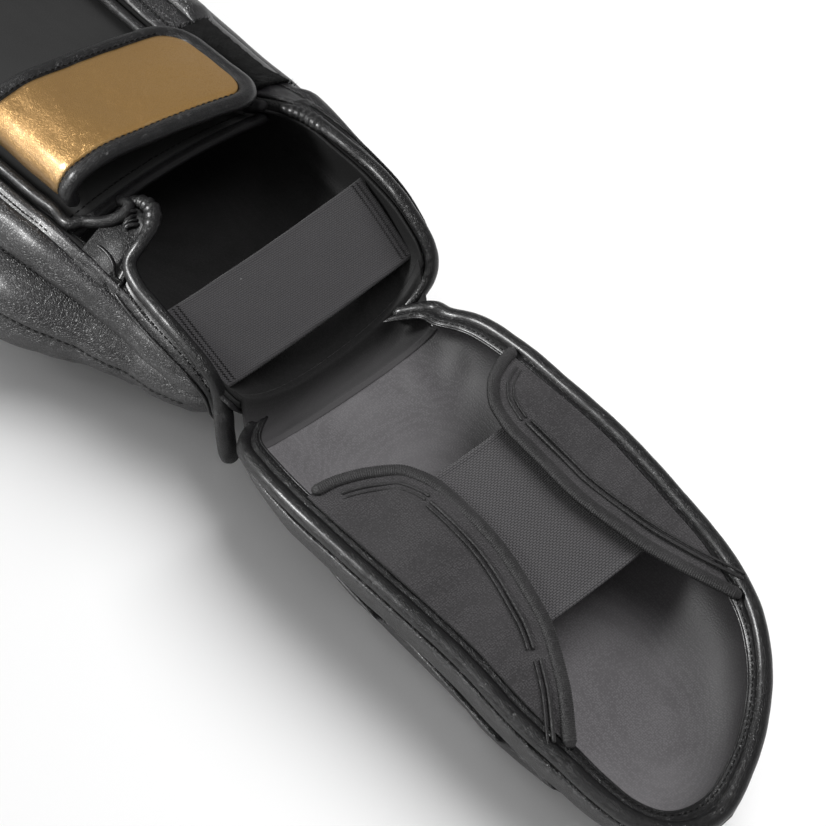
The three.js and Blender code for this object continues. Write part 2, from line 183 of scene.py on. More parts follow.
def footSide(x, v):
    return np.where(np.asarray(v) < 0, footProfile["leftSide"](x), footProfile["rightSide"](x))


def footSkin(x, v):
    p = footProfile
    angle = np.radians(v * 88)
    width = footSide(x, v) * toeShare(x)
    depth = p["hollow"](x) * toeShare(x) ** 0.8
    y = p["middle"](x) + width * squared(np.sin(angle))
    return stack(x, y, p["rim"](x) - depth * squared(np.cos(angle)))


def outside(skin, turn):  # the point at distance d outside a skin
    def at(u, v, d):
        u, v, d = np.broadcast_arrays(np.asarray(u, float), np.asarray(v, float), np.asarray(d, float))
        along = skin(u + 0.4, v) - skin(u - 0.4, v)
        across = skin(u, v + 0.004) - skin(u, v - 0.004)
        return skin(u, v) + unit(np.cross(along, across)) * turn * d[..., None]

    return at


shinAt = outside(shinSkin, 1)
footAt = outside(footSkin, -1)


# thickness from the inner skin to the outside of the cover
shellThickness = {"cloth": 4.0, "shinEdge": 3.6, "shinCrown": 7.4, "footEdge": 3.4, "footCrown": 5.6}


def foamThickness(half, v):
    return shellThickness[half + "Edge"] + shellThickness[half + "Crown"] * (1 - np.abs(v) ** 4)


def shinOuter(s, v):
    return shellThickness["cloth"] + foamThickness("shin", v) * shinProfile["thinning"](s)


def footOuter(x, v):
    return shellThickness["cloth"] + foamThickness("foot", v) * footProfile["thinning"](x)


# mesh makers
def evenGrid(us, vs):  # each is a start, an end and a count
    return np.meshgrid(np.linspace(*us), np.linspace(*vs), indexing="ij")


def gridFaces(rows, columns, start=0, flip=False):
    faces = []
    for i in range(rows - 1):
        for j in range(columns - 1):
            a = start + i * columns + j
            quad = (a, a + 1, a + columns + 1, a + columns)
            faces.append(quad[::-1] if flip else quad)
    return faces


def slabParts(lower, upper):  # a closed sheet between two grids of points
    rows, columns = lower.shape[:2]
    count = rows * columns
    faces = gridFaces(rows, columns) + gridFaces(rows, columns, count, True)
    ring = [j for j in range(columns)]
    ring += [i * columns + columns - 1 for i in range(1, rows)]
    ring += [(rows - 1) * columns + j for j in range(columns - 2, -1, -1)]
    ring += [i * columns for i in range(rows - 2, 0, -1)]
    for a, b in zip(ring, ring[1:] + ring[:1]):
        faces.append((b, a, a + count, b + count))
    return np.vstack([lower.reshape(-1, 3), upper.reshape(-1, 3)]), faces


def smoothPath(points, count):  # a smooth line of count points through the given ones
    points = np.asarray(points, float)
    steps = np.linalg.norm(np.diff(points, axis=0), axis=1)
    place = np.concatenate([[0], np.cumsum(steps)])
    slopes = np.diff(points, axis=0) / steps[:, None]
    before, after = steps[:-1, None], steps[1:, None]
    inner = (slopes[:-1] * after + slopes[1:] * before) / (before + after)
    tangents = np.vstack([slopes[:1], inner, slopes[-1:]])
    at = np.linspace(0, place[-1], count)
    i = np.clip(np.searchsorted(place, at, side="right") - 1, 0, len(points) - 2)
    width = (place[i + 1] - place[i])[:, None]
    t = (at - place[i])[:, None] / width
    return cubic(t, width, points, tangents, i)


def evenPath(points, pitch):  # the same line with points a pitch apart
    steps = np.linalg.norm(np.diff(points, axis=0), axis=1)
    place = np.concatenate([[0], np.cumsum(steps)])
    count = max(2, int(place[-1] / pitch) + 1)
    at = np.linspace(0, place[-1], count)
    return np.stack([np.interp(at, place, points[:, k]) for k in range(3)], axis=1)


def carriedFrames(path, up=(0, 0, 1)):  # a side and an up direction at each point, with no twist
    tangents = unit(np.gradient(path, axis=0))
    side = np.cross(tangents[0], np.array(up, float))
    if np.linalg.norm(side) < 0.1:
        side = np.cross(tangents[0], np.array([0, 1.0, 0]))
    sides = []
    for tangent in tangents:
        side = side - tangent * np.dot(side, tangent)
        side = side / np.linalg.norm(side)
        sides.append(side)
    sides = np.array(sides)
    return sides, np.cross(sides, tangents)


tubeDome = [(0.6, 0.75), (0.9, 0.35)]  # rings of a domed end: reach past it and size, as shares of the radius


def tubeParts(path, radius, sides=14, flat=1.0, up=(0, 0, 1)):  # a cord with domed ends
    path = np.asarray(path, float)
    radius = np.broadcast_to(np.asarray(radius, float), (len(path),)).copy()
    across, upward = carriedFrames(path, up)
    tangents = unit(np.gradient(path, axis=0))
    rings = []
    for push, shrink in tubeDome[::-1]:
        rings.append((path[0] - tangents[0] * push * radius[0], radius[0] * shrink, 0))
    rings += [(path[i], radius[i], i) for i in range(len(path))]
    for push, shrink in tubeDome:
        rings.append((path[-1] + tangents[-1] * push * radius[-1], radius[-1] * shrink, len(path) - 1))
    angles = np.linspace(0, 2 * math.pi, sides, endpoint=False)
    points = []
    for centre, size, i in rings:
        points.append(
            centre
            + np.cos(angles)[:, None] * across[i] * size
            + np.sin(angles)[:, None] * upward[i] * size * flat
        )
    faces = []
    for i in range(len(rings) - 1):
        for j in range(sides):
            k = (j + 1) % sides
            faces.append((i * sides + j, i * sides + k, (i + 1) * sides + k, (i + 1) * sides + j))
    last = (len(rings) - 1) * sides
    faces.append(tuple(range(sides - 1, -1, -1)))
    faces.append(tuple(range(last, last + sides)))
    return np.vstack(points), faces


def joinParts(parts):
    points, faces, start = [], [], 0
    for verts, quads in parts:
        points.append(verts)
        faces += [tuple(k + start for k in quad) for quad in quads]
        start += len(verts)
    return np.vstack(points), faces


def makePiece(name, parts, material, body, nodes=()):
    verts, faces = parts
    mesh = bpy.data.meshes.new(name)
    mesh.from_pydata((verts / 1000).tolist(), [], faces)
    work = bmesh.new()
    work.from_mesh(mesh)
    bmesh.ops.recalc_face_normals(work, faces=work.faces)
    work.to_mesh(mesh)
    work.free()
    mesh.polygons.foreach_set("use_smooth", [True] * len(mesh.polygons))
    mesh.materials.append(material)
    piece = bpy.data.objects.new(name, mesh)
    bpy.context.scene.collection.objects.link(piece)
    if body:
        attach(piece, body)
    if nodes:
        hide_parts(*nodes)
    return piece


# half of a stitch: place along it as a share of its half length, and height above the surface
stitchArch = [(1, -0.3), (0.55, 0.12), (0, 0.22)]


def threadRow(path, aways, length, radius):  # one arched stitch at each point, standing out along away
    parts = []
    for middle, tangent, away in zip(path, unit(np.gradient(path, axis=0)), aways):
        half = tangent * length / 2
        arch = [middle - half * share + away * height for share, height in stitchArch]
        arch += [middle + half * share + away * height for share, height in stitchArch[-2::-1]]
        parts.append(tubeParts(np.array(arch), radius, sides=5, up=away))
    return joinParts(parts)


def stitchParts(path, away, pitch=2.8, length=1.9, radius=0.32):  # stitches along a seam
    path = evenPath(path, pitch)
    return threadRow(path, [unit(np.array(away, float))] * len(path), length, radius)


def surfaceStitches(at, place, us, vs, depth, pitch=2.8, length=1.9, radius=0.32):
    # stitches along a line us, vs of a surface at the given depth
    path = evenPath(place(at(us, vs, depth)), pitch)
    higher = evenPath(place(at(us, vs, depth + 1.0)), pitch)
    count = min(len(path), len(higher))
    path = path[:count]
    return threadRow(path, unit(higher[:count] - path), length, radius)


# finishes
def newGroup(name, inputs, outputs):
    group = bpy.data.node_groups.new(name, "ShaderNodeTree")
    for label, kind, value in inputs:
        socket = group.interface.new_socket(label, in_out="INPUT", socket_type=kind)
        socket.default_value = value
    for label, kind in outputs:
        group.interface.new_socket(label, in_out="OUTPUT", socket_type=kind)
    start = group.nodes.new("NodeGroupInput")
    end = group.nodes.new("NodeGroupOutput")
    return group, start, end


def addNode(tree, kind, settings=(), **values):
    node = tree.nodes.new(kind)
    for key, value in dict(settings).items():
        setattr(node, key, value)
    for key, value in values.items():
        node.inputs[key.replace("_", " ")].default_value = value
    return node


def textureNode(tree, kind, vector, settings=(), **values):
    node = addNode(tree, "ShaderNodeTex" + kind, settings, **values)
    tree.links.new(vector, node.inputs["Vector"])
    return node


def mathNode(tree, operation, first, second=0.0, clamp=False):
    node = tree.nodes.new("ShaderNodeMath")
    node.operation = operation
    node.use_clamp = clamp
    for socket, value in zip(node.inputs, (first, second)):
        if isinstance(value, bpy.types.NodeSocket):
            tree.links.new(value, socket)
        else:
            socket.default_value = value
    return node.outputs[0]


def multiply(tree, first, second):
    return mathNode(tree, "MULTIPLY", first, second)


def mapRange(tree, value, low, high, toLow=0.0, toHigh=1.0):
    node = tree.nodes.new("ShaderNodeMapRange")
    tree.links.new(value, node.inputs["Value"])
    for key, number in zip(("From Min", "From Max", "To Min", "To Max"), (low, high, toLow, toHigh)):
        node.inputs[key].default_value = number
    return node.outputs[0]


def makeGrainGroup():  # pebbled leather: closed cells with fine creases and soft patches
    group, start, end = newGroup(
        "leatherGrain",
        [("Vector", "NodeSocketVector", (0, 0, 0)), ("Cell Size", "NodeSocketFloat", 1.1),
         ("Crease Depth", "NodeSocketFloat", 1.0), ("Patchiness", "NodeSocketFloat", 0.5)],
        [("Height", "NodeSocketFloat"), ("Pores", "NodeSocketFloat"), ("Patches", "NodeSocketFloat")],
    )
    scale = mathNode(group, "DIVIDE", 1000.0, start.outputs["Cell Size"])
    warp = textureNode(group, "Noise", start.outputs["Vector"], Scale=260.0, Detail=2.0)
    bent = group.nodes.new("ShaderNodeMixRGB")
    bent.blend_type = "LINEAR_LIGHT"
    bent.inputs["Fac"].default_value = 0.0016
    group.links.new(start.outputs["Vector"], bent.inputs["Color1"])
    group.links.new(warp.outputs["Color"], bent.inputs["Color2"])
    cells = textureNode(group, "Voronoi", bent.outputs["Color"], {"feature": "DISTANCE_TO_EDGE"})
    group.links.new(scale, cells.inputs["Scale"])
    creases = mapRange(group, cells.outputs["Distance"], 0.0, 0.22)
    fine = textureNode(group, "Noise", start.outputs["Vector"], Scale=2600.0, Detail=3.0)
    depth = multiply(group, creases, start.outputs["Crease Depth"])
    height = mathNode(group, "ADD", depth, multiply(group, fine.outputs["Fac"], 0.35))
    group.links.new(height, end.inputs["Height"])
    group.links.new(mathNode(group, "SUBTRACT", 1.0, creases, True), end.inputs["Pores"])
    broad = textureNode(group, "Noise", start.outputs["Vector"], Scale=24.0, Detail=4.0)
    spread = mapRange(group, broad.outputs["Fac"], 0.35, 0.68)
    group.links.new(multiply(group, spread, start.outputs["Patchiness"]), end.inputs["Patches"])
    return group


def makeRibGroup():  # woven ribs: rows of short raised dashes, laid like bricks
    group, start, end = newGroup(
        "ribWeave",
        [("Vector", "NodeSocketVector", (0, 0, 0)), ("Row Pitch", "NodeSocketFloat", 1.3),
         ("Dash Length", "NodeSocketFloat", 3.6), ("Unevenness", "NodeSocketFloat", 0.4)],
        [("Height", "NodeSocketFloat"), ("Ridges", "NodeSocketFloat")],
    )
    parts = group.nodes.new("ShaderNodeSeparateXYZ")
    group.links.new(start.outputs["Vector"], parts.inputs[0])
    row = mathNode(group, "DIVIDE", multiply(group, parts.outputs[0], 1000.0), start.outputs["Row Pitch"])
    step = multiply(group, mathNode(group, "FLOOR", row), 0.5)  # every other row starts half a dash later
    dash = mathNode(group, "DIVIDE", multiply(group, parts.outputs[1], 1000.0), start.outputs["Dash Length"])
    ridge = mathNode(group, "SINE", multiply(group, mathNode(group, "FRACT", row), math.pi))
    along = mathNode(group, "FRACT", mathNode(group, "ADD", dash, step))
    bead = mathNode(group, "SINE", multiply(group, along, math.pi))
    ridges = multiply(group, ridge, mapRange(group, bead, 0.0, 0.5))
    rough = textureNode(group, "Noise", start.outputs["Vector"], Scale=900.0, Detail=3.0)
    uneven = multiply(group, rough.outputs["Fac"], start.outputs["Unevenness"])
    group.links.new(mathNode(group, "ADD", ridges, uneven), end.inputs["Height"])
    group.links.new(ridges, end.inputs["Ridges"])
    return group


def makeKnitGroup():  # fine knitted or brushed cloth with small loose fibres
    group, start, end = newGroup(
        "knitCloth",
        [("Vector", "NodeSocketVector", (0, 0, 0)), ("Loop Size", "NodeSocketFloat", 0.7),
         ("Brushing", "NodeSocketFloat", 0.5)],
        [("Height", "NodeSocketFloat"), ("Loops", "NodeSocketFloat"), ("Patches", "NodeSocketFloat")],
    )
    scale = mathNode(group, "DIVIDE", 1000.0, start.outputs["Loop Size"])
    loops = textureNode(group, "Voronoi", start.outputs["Vector"], Randomness=0.55)
    group.links.new(scale, loops.inputs["Scale"])
    fibres = textureNode(group, "Noise", start.outputs["Vector"], Scale=1500.0, Detail=4.0, Distortion=1.2)
    raised = mapRange(group, loops.outputs["Distance"], 0.1, 0.6, 1.0, 0.0)
    brushed = multiply(group, fibres.outputs["Fac"], start.outputs["Brushing"])
    group.links.new(mathNode(group, "ADD", raised, brushed), end.inputs["Height"])
    group.links.new(raised, end.inputs["Loops"])
    broad = textureNode(group, "Noise", start.outputs["Vector"], Scale=32.0, Detail=3.0)
    group.links.new(mapRange(group, broad.outputs["Fac"], 0.35, 0.7), end.inputs["Patches"])
    return group


def makeWearGroup():  # rubbed edges, and pale lint caught on the surface
    group, start, end = newGroup(
        "handlingWear",
        [("Vector", "NodeSocketVector", (0, 0, 0)), ("Edge Rub", "NodeSocketFloat", 0.5),
         ("Lint", "NodeSocketFloat", 0.3)],
        [("Rubbed", "NodeSocketFloat"), ("Lint", "NodeSocketFloat")],
    )
    edges = group.nodes.new("ShaderNodeNewGeometry")
    raised = mapRange(group, edges.outputs["Pointiness"], 0.51, 0.58)
    smear = textureNode(group, "Noise", start.outputs["Vector"], Scale=140.0, Detail=4.0)
    rubbed = multiply(group, raised, mapRange(group, smear.outputs["Fac"], 0.38, 0.62))
    group.links.new(multiply(group, rubbed, start.outputs["Edge Rub"]), end.inputs["Rubbed"])
    specks = textureNode(group, "Voronoi", start.outputs["Vector"], Scale=170.0)
    near = mapRange(group, specks.outputs["Distance"], 0.02, 0.05, 1.0, 0.0)
    sparse = mapRange(group, smear.outputs["Fac"], 0.6, 0.66)
    lint = multiply(group, multiply(group, near, sparse), start.outputs["Lint"])
    group.links.new(lint, end.inputs["Lint"])
    return group


grainGroup = makeGrainGroup()
ribGroup = makeRibGroup()
knitGroup = makeKnitGroup()
wearGroup = makeWearGroup()


def placeGroup(tree, group, vector, **values):
    node = tree.nodes.new("ShaderNodeGroup")
    node.node_tree = group
    tree.links.new(vector, node.inputs["Vector"])
    for key, value in values.items():
        node.inputs[key.replace("_", " ")].default_value = value
    return node


def startMaterial(name):
    material = bpy.data.materials.new(name)
    material.use_nodes = True
    tree = material.node_tree
    shader = tree.nodes["Principled BSDF"]
    vector = tree.nodes.new("ShaderNodeTexCoord").outputs["Object"]
    return material, tree, shader, vector


def mixColours(tree, factor, first, second):
    node = tree.nodes.new("ShaderNodeMixRGB")
    for socket, value in zip(node.inputs, (factor, first, second)):
        if isinstance(value, bpy.types.NodeSocket):
            tree.links.new(value, socket)
        else:
            socket.default_value = value if isinstance(value, float) else (*value, 1)
    return node.outputs[0]


def addBump(tree, shader, height, distance, strength=1.0):
    bump = tree.nodes.new("ShaderNodeBump")
    bump.inputs["Strength"].default_value = strength
    bump.inputs["Distance"].default_value = distance
    tree.links.new(height, bump.inputs["Height"])
    tree.links.new(bump.outputs["Normal"], shader.inputs["Normal"])


def leatherFinish(name, look):
    material, tree, shader, vector = startMaterial(name)
    grain = placeGroup(tree, grainGroup, vector, Cell_Size=look["cell"], Patchiness=look["patchiness"])
    wear = placeGroup(tree, wearGroup, vector, Edge_Rub=look["rub"], Lint=look["lint"])
    tone = mixColours(tree, grain.outputs["Patches"], look["colour"], look["second"])
    tone = mixColours(tree, multiply(tree, grain.outputs["Pores"], 0.45), tone, look["pore"])
    tone = mixColours(tree, wear.outputs["Rubbed"], tone, look["worn"])
    tone = mixColours(tree, wear.outputs["Lint"], tone, (0.35, 0.35, 0.35))
    tree.links.new(tone, shader.inputs["Base Color"])
    rough = mathNode(tree, "ADD", multiply(tree, grain.outputs["Patches"], 0.1), look["roughness"])
    rough = mathNode(tree, "ADD", rough, multiply(tree, grain.outputs["Pores"], 0.18), True)
    tree.links.new(rough, shader.inputs["Roughness"])
    shader.inputs["Metallic"].default_value = look["metallic"]
    shader.inputs["Specular IOR Level"].default_value = look["specular"]
    shader.inputs["Coat Weight"].default_value = look["coat"]
    shader.inputs["Coat Roughness"].default_value = look["coatRoughness"]
    addBump(tree, shader, grain.outputs["Height"], look["bump"])
    return material


def clothFinish(name, look):
    material, tree, shader, vector = startMaterial(name)
    knit = placeGroup(tree, knitGroup, vector, Loop_Size=look["loop"], Brushing=look["brushing"])
    wear = placeGroup(tree, wearGroup, vector, Edge_Rub=0.15, Lint=look["lint"])
    tone = mixColours(tree, knit.outputs["Loops"], look["second"], look["colour"])
    tone = mixColours(tree, multiply(tree, knit.outputs["Patches"], 0.35), tone, look["worn"])
    if "fade" in look:  # painted shade: the colour turns paler from one end of the piece to the other
        split = addNode(tree, "ShaderNodeSeparateXYZ")
        tree.links.new(vector, split.inputs["Vector"])
        tone = mixColours(tree, mapRange(tree, split.outputs["X"], *look["fade"]), tone, look["fadeColour"])
    tone = mixColours(tree, wear.outputs["Lint"], tone, (0.4, 0.4, 0.4))
    tree.links.new(tone, shader.inputs["Base Color"])
    rough = mathNode(tree, "ADD", multiply(tree, knit.outputs["Patches"], 0.08), look["roughness"], True)
    tree.links.new(rough, shader.inputs["Roughness"])
    shader.inputs["Specular IOR Level"].default_value = 0.25
    shader.inputs["Sheen Weight"].default_value = look["sheen"]
    shader.inputs["Sheen Roughness"].default_value = 0.45
    addBump(tree, shader, knit.outputs["Height"], look["bump"])
    return material


def elasticFinish(name, look):
    material, tree, shader, vector = startMaterial(name)
    ribs = placeGroup(tree, ribGroup, vector, Row_Pitch=look["row"], Dash_Length=look["dash"], Unevenness=0.5)
    wear = placeGroup(tree, wearGroup, vector, Edge_Rub=0.2, Lint=look["lint"])
    tone = mixColours(tree, ribs.outputs["Ridges"], look["second"], look["colour"])
    tone = mixColours(tree, wear.outputs["Lint"], tone, (0.4, 0.4, 0.4))
    tree.links.new(tone, shader.inputs["Base Color"])
    rough = mathNode(tree, "SUBTRACT", 0.86, multiply(tree, ribs.outputs["Ridges"], 0.1), True)
    tree.links.new(rough, shader.inputs["Roughness"])
    shader.inputs["Specular IOR Level"].default_value = 0.3
    shader.inputs["Sheen Weight"].default_value = 0.12
    addBump(tree, shader, ribs.outputs["Height"], look["bump"])
    return material


# bump heights and the places where the painted shade fades are in metres; cell, loop, row and dash sizes are
# in millimetres
finishes = {
    "blackLeather": leatherFinish("blackLeather", {
        "colour": (0.0064, 0.0058, 0.0068), "second": (0.0105, 0.0096, 0.0112),
        "pore": (0.002, 0.002, 0.0022), "worn": (0.04, 0.038, 0.04),
        "cell": 0.95, "patchiness": 0.6, "rub": 0.1, "lint": 0.0, "roughness": 0.38, "metallic": 0.0,
        "specular": 0.62, "coat": 0.3, "coatRoughness": 0.34, "bump": 0.0002}),
    "pipingLeather": leatherFinish("pipingLeather", {
        "colour": (0.0032, 0.003, 0.0034), "second": (0.0052, 0.0049, 0.0055),
        "pore": (0.0014, 0.0014, 0.0016), "worn": (0.03, 0.029, 0.03),
        "cell": 0.7, "patchiness": 0.6, "rub": 0.08, "lint": 0.0, "roughness": 0.34, "metallic": 0.0,
        "specular": 0.34, "coat": 0.28, "coatRoughness": 0.26, "bump": 0.0001}),
    "goldLeather": leatherFinish("goldLeather", {
        "colour": (0.36, 0.205, 0.058), "second": (0.30, 0.168, 0.046),
        "pore": (0.22, 0.12, 0.036), "worn": (0.5, 0.36, 0.18),
        "cell": 0.7, "patchiness": 0.7, "rub": 0.3, "lint": 0.05, "roughness": 0.3, "metallic": 0.55,
        "specular": 0.6, "coat": 0.5, "coatRoughness": 0.22, "bump": 0.00005}),
    "footLining": clothFinish("footLining", {
        "colour": (0.135, 0.13, 0.136), "second": (0.086, 0.082, 0.086), "worn": (0.17, 0.165, 0.171),
        "loop": 0.8, "brushing": 0.8, "lint": 0.15, "roughness": 0.55, "sheen": 0.2, "bump": 0.00006}),
    # painted shade: this lining is much darker than the foot lining to stand for the shade in the ankle
    # hollow, and turns paler between x = 0.056 and 0.079 m
    "paintedShadeAnkleLining": clothFinish("paintedShadeAnkleLining", {
        "colour": (0.014, 0.0135, 0.014), "second": (0.009, 0.009, 0.009), "worn": (0.022, 0.0215, 0.022),
        "loop": 0.8, "brushing": 0.8, "lint": 0.1, "roughness": 0.7, "sheen": 0.05, "bump": 0.00006,
        "fade": (0.056, 0.079), "fadeColour": (0.085, 0.082, 0.085)}),
    "wingCloth": clothFinish("wingCloth", {
        "colour": (0.068, 0.065, 0.068), "second": (0.03, 0.0285, 0.03), "worn": (0.085, 0.082, 0.085),
        "loop": 0.85, "brushing": 1.3, "lint": 0.25, "roughness": 0.8, "sheen": 0.15, "bump": 0.0003}),
    "panelCloth": clothFinish("panelCloth", {
        "colour": (0.021, 0.021, 0.021), "second": (0.017, 0.017, 0.017), "worn": (0.025, 0.025, 0.025),
        "loop": 0.9, "brushing": 0.6, "lint": 0.05, "roughness": 0.7, "sheen": 0.05, "bump": 0.00003}),
    "loopPile": clothFinish("loopPile", {
        "colour": (0.007, 0.007, 0.007), "second": (0.003, 0.003, 0.003), "worn": (0.012, 0.012, 0.012),
        "loop": 0.9, "brushing": 1.4, "lint": 0.05, "roughness": 0.95, "sheen": 0.0, "bump": 0.0006}),
    "foam": clothFinish("closedCellFoam", {
        "colour": (0.02, 0.02, 0.02), "second": (0.012, 0.012, 0.012), "worn": (0.03, 0.03, 0.03),
        "loop": 1.2, "brushing": 0.2, "lint": 0.0, "roughness": 0.9, "sheen": 0.0, "bump": 0.0002}),
    "overlock": clothFinish("overlockThread", {
        "colour": (0.04, 0.038, 0.04), "second": (0.012, 0.012, 0.012), "worn": (0.06, 0.058, 0.06),
        "loop": 0.45, "brushing": 0.5, "lint": 0.1, "roughness": 0.5, "sheen": 0.1, "bump": 0.0001}),
    "soleElastic": elasticFinish("soleElastic", {
        "colour": (0.098, 0.094, 0.099), "second": (0.036, 0.035, 0.036), "row": 0.85, "dash": 1.7,
        "lint": 0.4, "bump": 0.0004}),
    "ankleElastic": elasticFinish("ankleElastic", {
        "colour": (0.052, 0.05, 0.053), "second": (0.034, 0.033, 0.034), "row": 0.75, "dash": 1.2,
        "lint": 1.0, "bump": 0.00016}),
    "thread": clothFinish("seamThread", {
        "colour": (0.005, 0.005, 0.005), "second": (0.002, 0.002, 0.002), "worn": (0.01, 0.01, 0.01),
        "loop": 0.3, "brushing": 0.3, "lint": 0.0, "roughness": 0.6, "sheen": 0.0, "bump": 0.00005}),
}
print("finishes made")

# lining, foam and cover of both halves
pipingSeam = 0.957  # where the seam below the piping runs, as a share of the way to the edge
shellGap = 0.3  # between the foam and the cloth on either side


def makeShell(body, at, place, outer, u, v, liningDepths, coverRise):
    inner, under = (place(at(u, v, depth)) for depth in liningDepths)
    # the shin half's lining takes the ankle lining finish, which has painted shade
    finish = {"shin": "paintedShadeAnkleLining", "foot": "footLining"}[body]
    lining = makePiece(
        body + "Lining", slabParts(inner, under), finishes[finish], body, [body + "_lining"])
    cover = outer(u, v) - guardSize["cover"]
    low, high = place(at(u, v, guardSize["lining"] + shellGap)), place(at(u, v, cover - shellGap))
    foam = makePiece(
        body + "Foam", slabParts(low, high), finishes["foam"], body, [body + "_foam_core"])
    low, high = place(at(u, v, cover)), place(at(u, v, outer(u, v) + coverRise))
    piece = makePiece(
        body + "Cover", slabParts(low, high), finishes["blackLeather"], body,
        [body + "_outer_cover"])


shinShell = {"rows": 130, "columns": 92, "foldHeight": 1.3, "coverSoftness": 0.5, "seamDepth": 0.7}
shellEdge = 0.995  # the linings and covers stop just short of the skin's edges


def liningFolds(s, v):  # soft folds that stand into the hollow near the ankle
    near = smoothStep(s, 105, 60) * smoothStep(s, 0, 12)
    upright = hump(v, 0.66, 0.05) + 0.8 * hump(v, -0.5, 0.07) + 0.5 * hump(v, 0.28 + s / 500, 0.05)
    slack = 0.35 * ripple(s / 16, v * 5, 1.4)
    return shinShell["foldHeight"] * near * (upright + slack)


def makeShinShell():
    length = guardSize["shinLength"]
    s, v = evenGrid((0.5, length - 0.5, shinShell["rows"]), (-shellEdge, shellEdge, shinShell["columns"]))
    folds = liningFolds(s, v)
    depths = (0.05 - folds, guardSize["lining"] - 0.1 - folds * 0.9)
    ends = smoothStep(s, 0, 10) * smoothStep(s, length, length - 10)
    soft = shinShell["coverSoftness"] * ends * (ripple(s / 13, v * 6, 0.3) - 0.4)
    soft = soft - shinShell["seamDepth"] * hump(np.abs(v), pipingSeam, 0.008)
    makeShell("shin", shinAt, onShin, shinOuter, s, v, depths, soft)


makeShinShell()
print("shin shell made")


# sewn pads
def channelPad(name, node, us, vs, rise):
    # a long pad sewn along both sides; rise(u, across) is its height, across runs from -1 to 1
    u, v = np.meshgrid(us, vs, indexing="ij")
    across = 2 * (np.abs(v) - np.abs(vs).min()) / np.ptp(np.abs(vs)) - 1
    fromEnd = np.minimum(u - us[0], us[-1] - u)
    ends = np.sqrt(1 - (1 - np.clip(fromEnd / 14, 0, 1)) ** 2)
    height = 0.3 + np.maximum(rise(u, across), 0) * ends
    lower = onShin(shinAt(u, v, shinOuter(u, v) + 0.1))
    upper = onShin(shinAt(u, v, shinOuter(u, v) + 0.1 + height))
    pad = slabParts(lower, upper)
    piece = makePiece(name, pad, finishes["blackLeather"], "shin", [node])


bolster = {
    "start": 12,
    "end": 322,
    "rows": 190,
    "columns": 44,
    # share of the swell, from the lower side (-1) to the upper one (1), with a dip at each stitched seam
    "section": curve([-1, 0.58], [-0.9, 0.8], [-0.72, 0.9], [-0.62, 0.86], [-0.56, 0.78], [-0.5, 0.87],
                     [-0.36, 0.99], [-0.1, 1.02], [0.15, 0.97], [0.32, 0.86], [0.38, 0.79], [0.44, 0.82],
                     [0.6, 0.76], [0.78, 0.58], [0.93, 0.25], [1, 0.02]),
    "lowerSeam": -0.56,
    "upperSeam": 0.38,
    "reach": (0.5, 0.785),  # share of the way from the middle of the front to the edge
    "bandReach": {"left": (0.80, 0.945), "right": (0.80, 0.89)},
    "left": curve([12, 6], [45, 9.5], [70, 13.5], [110, 20], [250, 20], [322, 13]),
    "right": curve([12, 6], [110, 5], [322, 5]),
    "bandHeight": 3.4,
    "pleatDepth": 1.0,
}


def makeBolsters():
    us = np.linspace(bolster["start"], bolster["end"], bolster["rows"])
    low, high = bolster["reach"]
    for side, turn in (("left", -1), ("right", 1)):
        swell = bolster[side]

        def bigRise(u, across):  # with short pleats from the lower seam near the ankle
            close = hump(u, 42, 26) * (hump(across, -0.42, 0.16) + 0.6 * hump(across, -0.75, 0.12))
            pleats = np.sin(u / 1.7 + 1.5 * np.sin(u / 7)) * close * bolster["pleatDepth"]
            drape = 0.6 * ripple(u / 19, across * 1.6, 2.0)
            drape = drape + 0.4 * ripple(u / 7, across * 2.2, 5.0) * hump(u, 60, 50)
            return swell(u) * bolster["section"](across) + pleats + drape * (1 - np.abs(across) ** 3)

        def bandRise(u, across):  # the right one is flat under the lower loop patch
            crown = (1 - np.abs(across) ** 2.4) ** 0.6
            under = 1 if side == "left" else 1 - 0.8 * (smoothStep(u, 84, 92) * smoothStep(u, 156, 148))
            return (bolster["bandHeight"] + 0.5 * ripple(u / 14, across, 4.0)) * crown * under

        big = np.linspace(low, high, bolster["columns"]) * turn
        band = np.linspace(*bolster["bandReach"][side], 26) * turn
        channelPad("sideBolster" + side.title(), "side_bolster_" + side, us, big, bigRise)
        channelPad("upperBolster" + side.title(), "upper_bolster_" + side, us, band, bandRise)
        rows = []
        s = np.linspace(24, 316, 260)
        for seam in ("lowerSeam", "upperSeam"):
            across = np.full_like(s, bolster[seam])
            v = (low + high) / 2 + (high - low) / 2 * across
            depth = shinOuter(s, v) + 0.7 + bigRise(s, across)
            rows.append(surfaceStitches(shinAt, onShin, s, v * turn, depth, 3.2, 2.0, 0.42))
        rows.append(surfaceStitches(
            shinAt, onShin, s, np.full_like(s, 0.793 * turn), shinOuter(s, 0.793) + 0.35, 2.9, 2.0, 0.34))
        makePiece("bolsterStitches" + side.title(), joinParts(rows), finishes["thread"], "shin")


makeBolsters()

softPads = {
    "voxel": 4.2,
    "pressure": 4.0,
    "frames": 20,
    "cap": 5,  # the most that a point may move, in millimetres
    "shrink": 0.8,
    "middleHeight": 75,  # the guard's middle line, which the pads swell away from
    "linePitch": 23,  # shallow pressed lines across the pads
    "lineDepth": 0.28,
    "nodes": ["shin_front_pad_%d" % i for i in range(1, 6)]
    + ["foot_centre_pad", "foot_side_pad_left", "foot_side_pad_right"],
}


def padName(node):
    words = node.split("_")
    return words[0] + "".join(word.title() for word in words[1:])


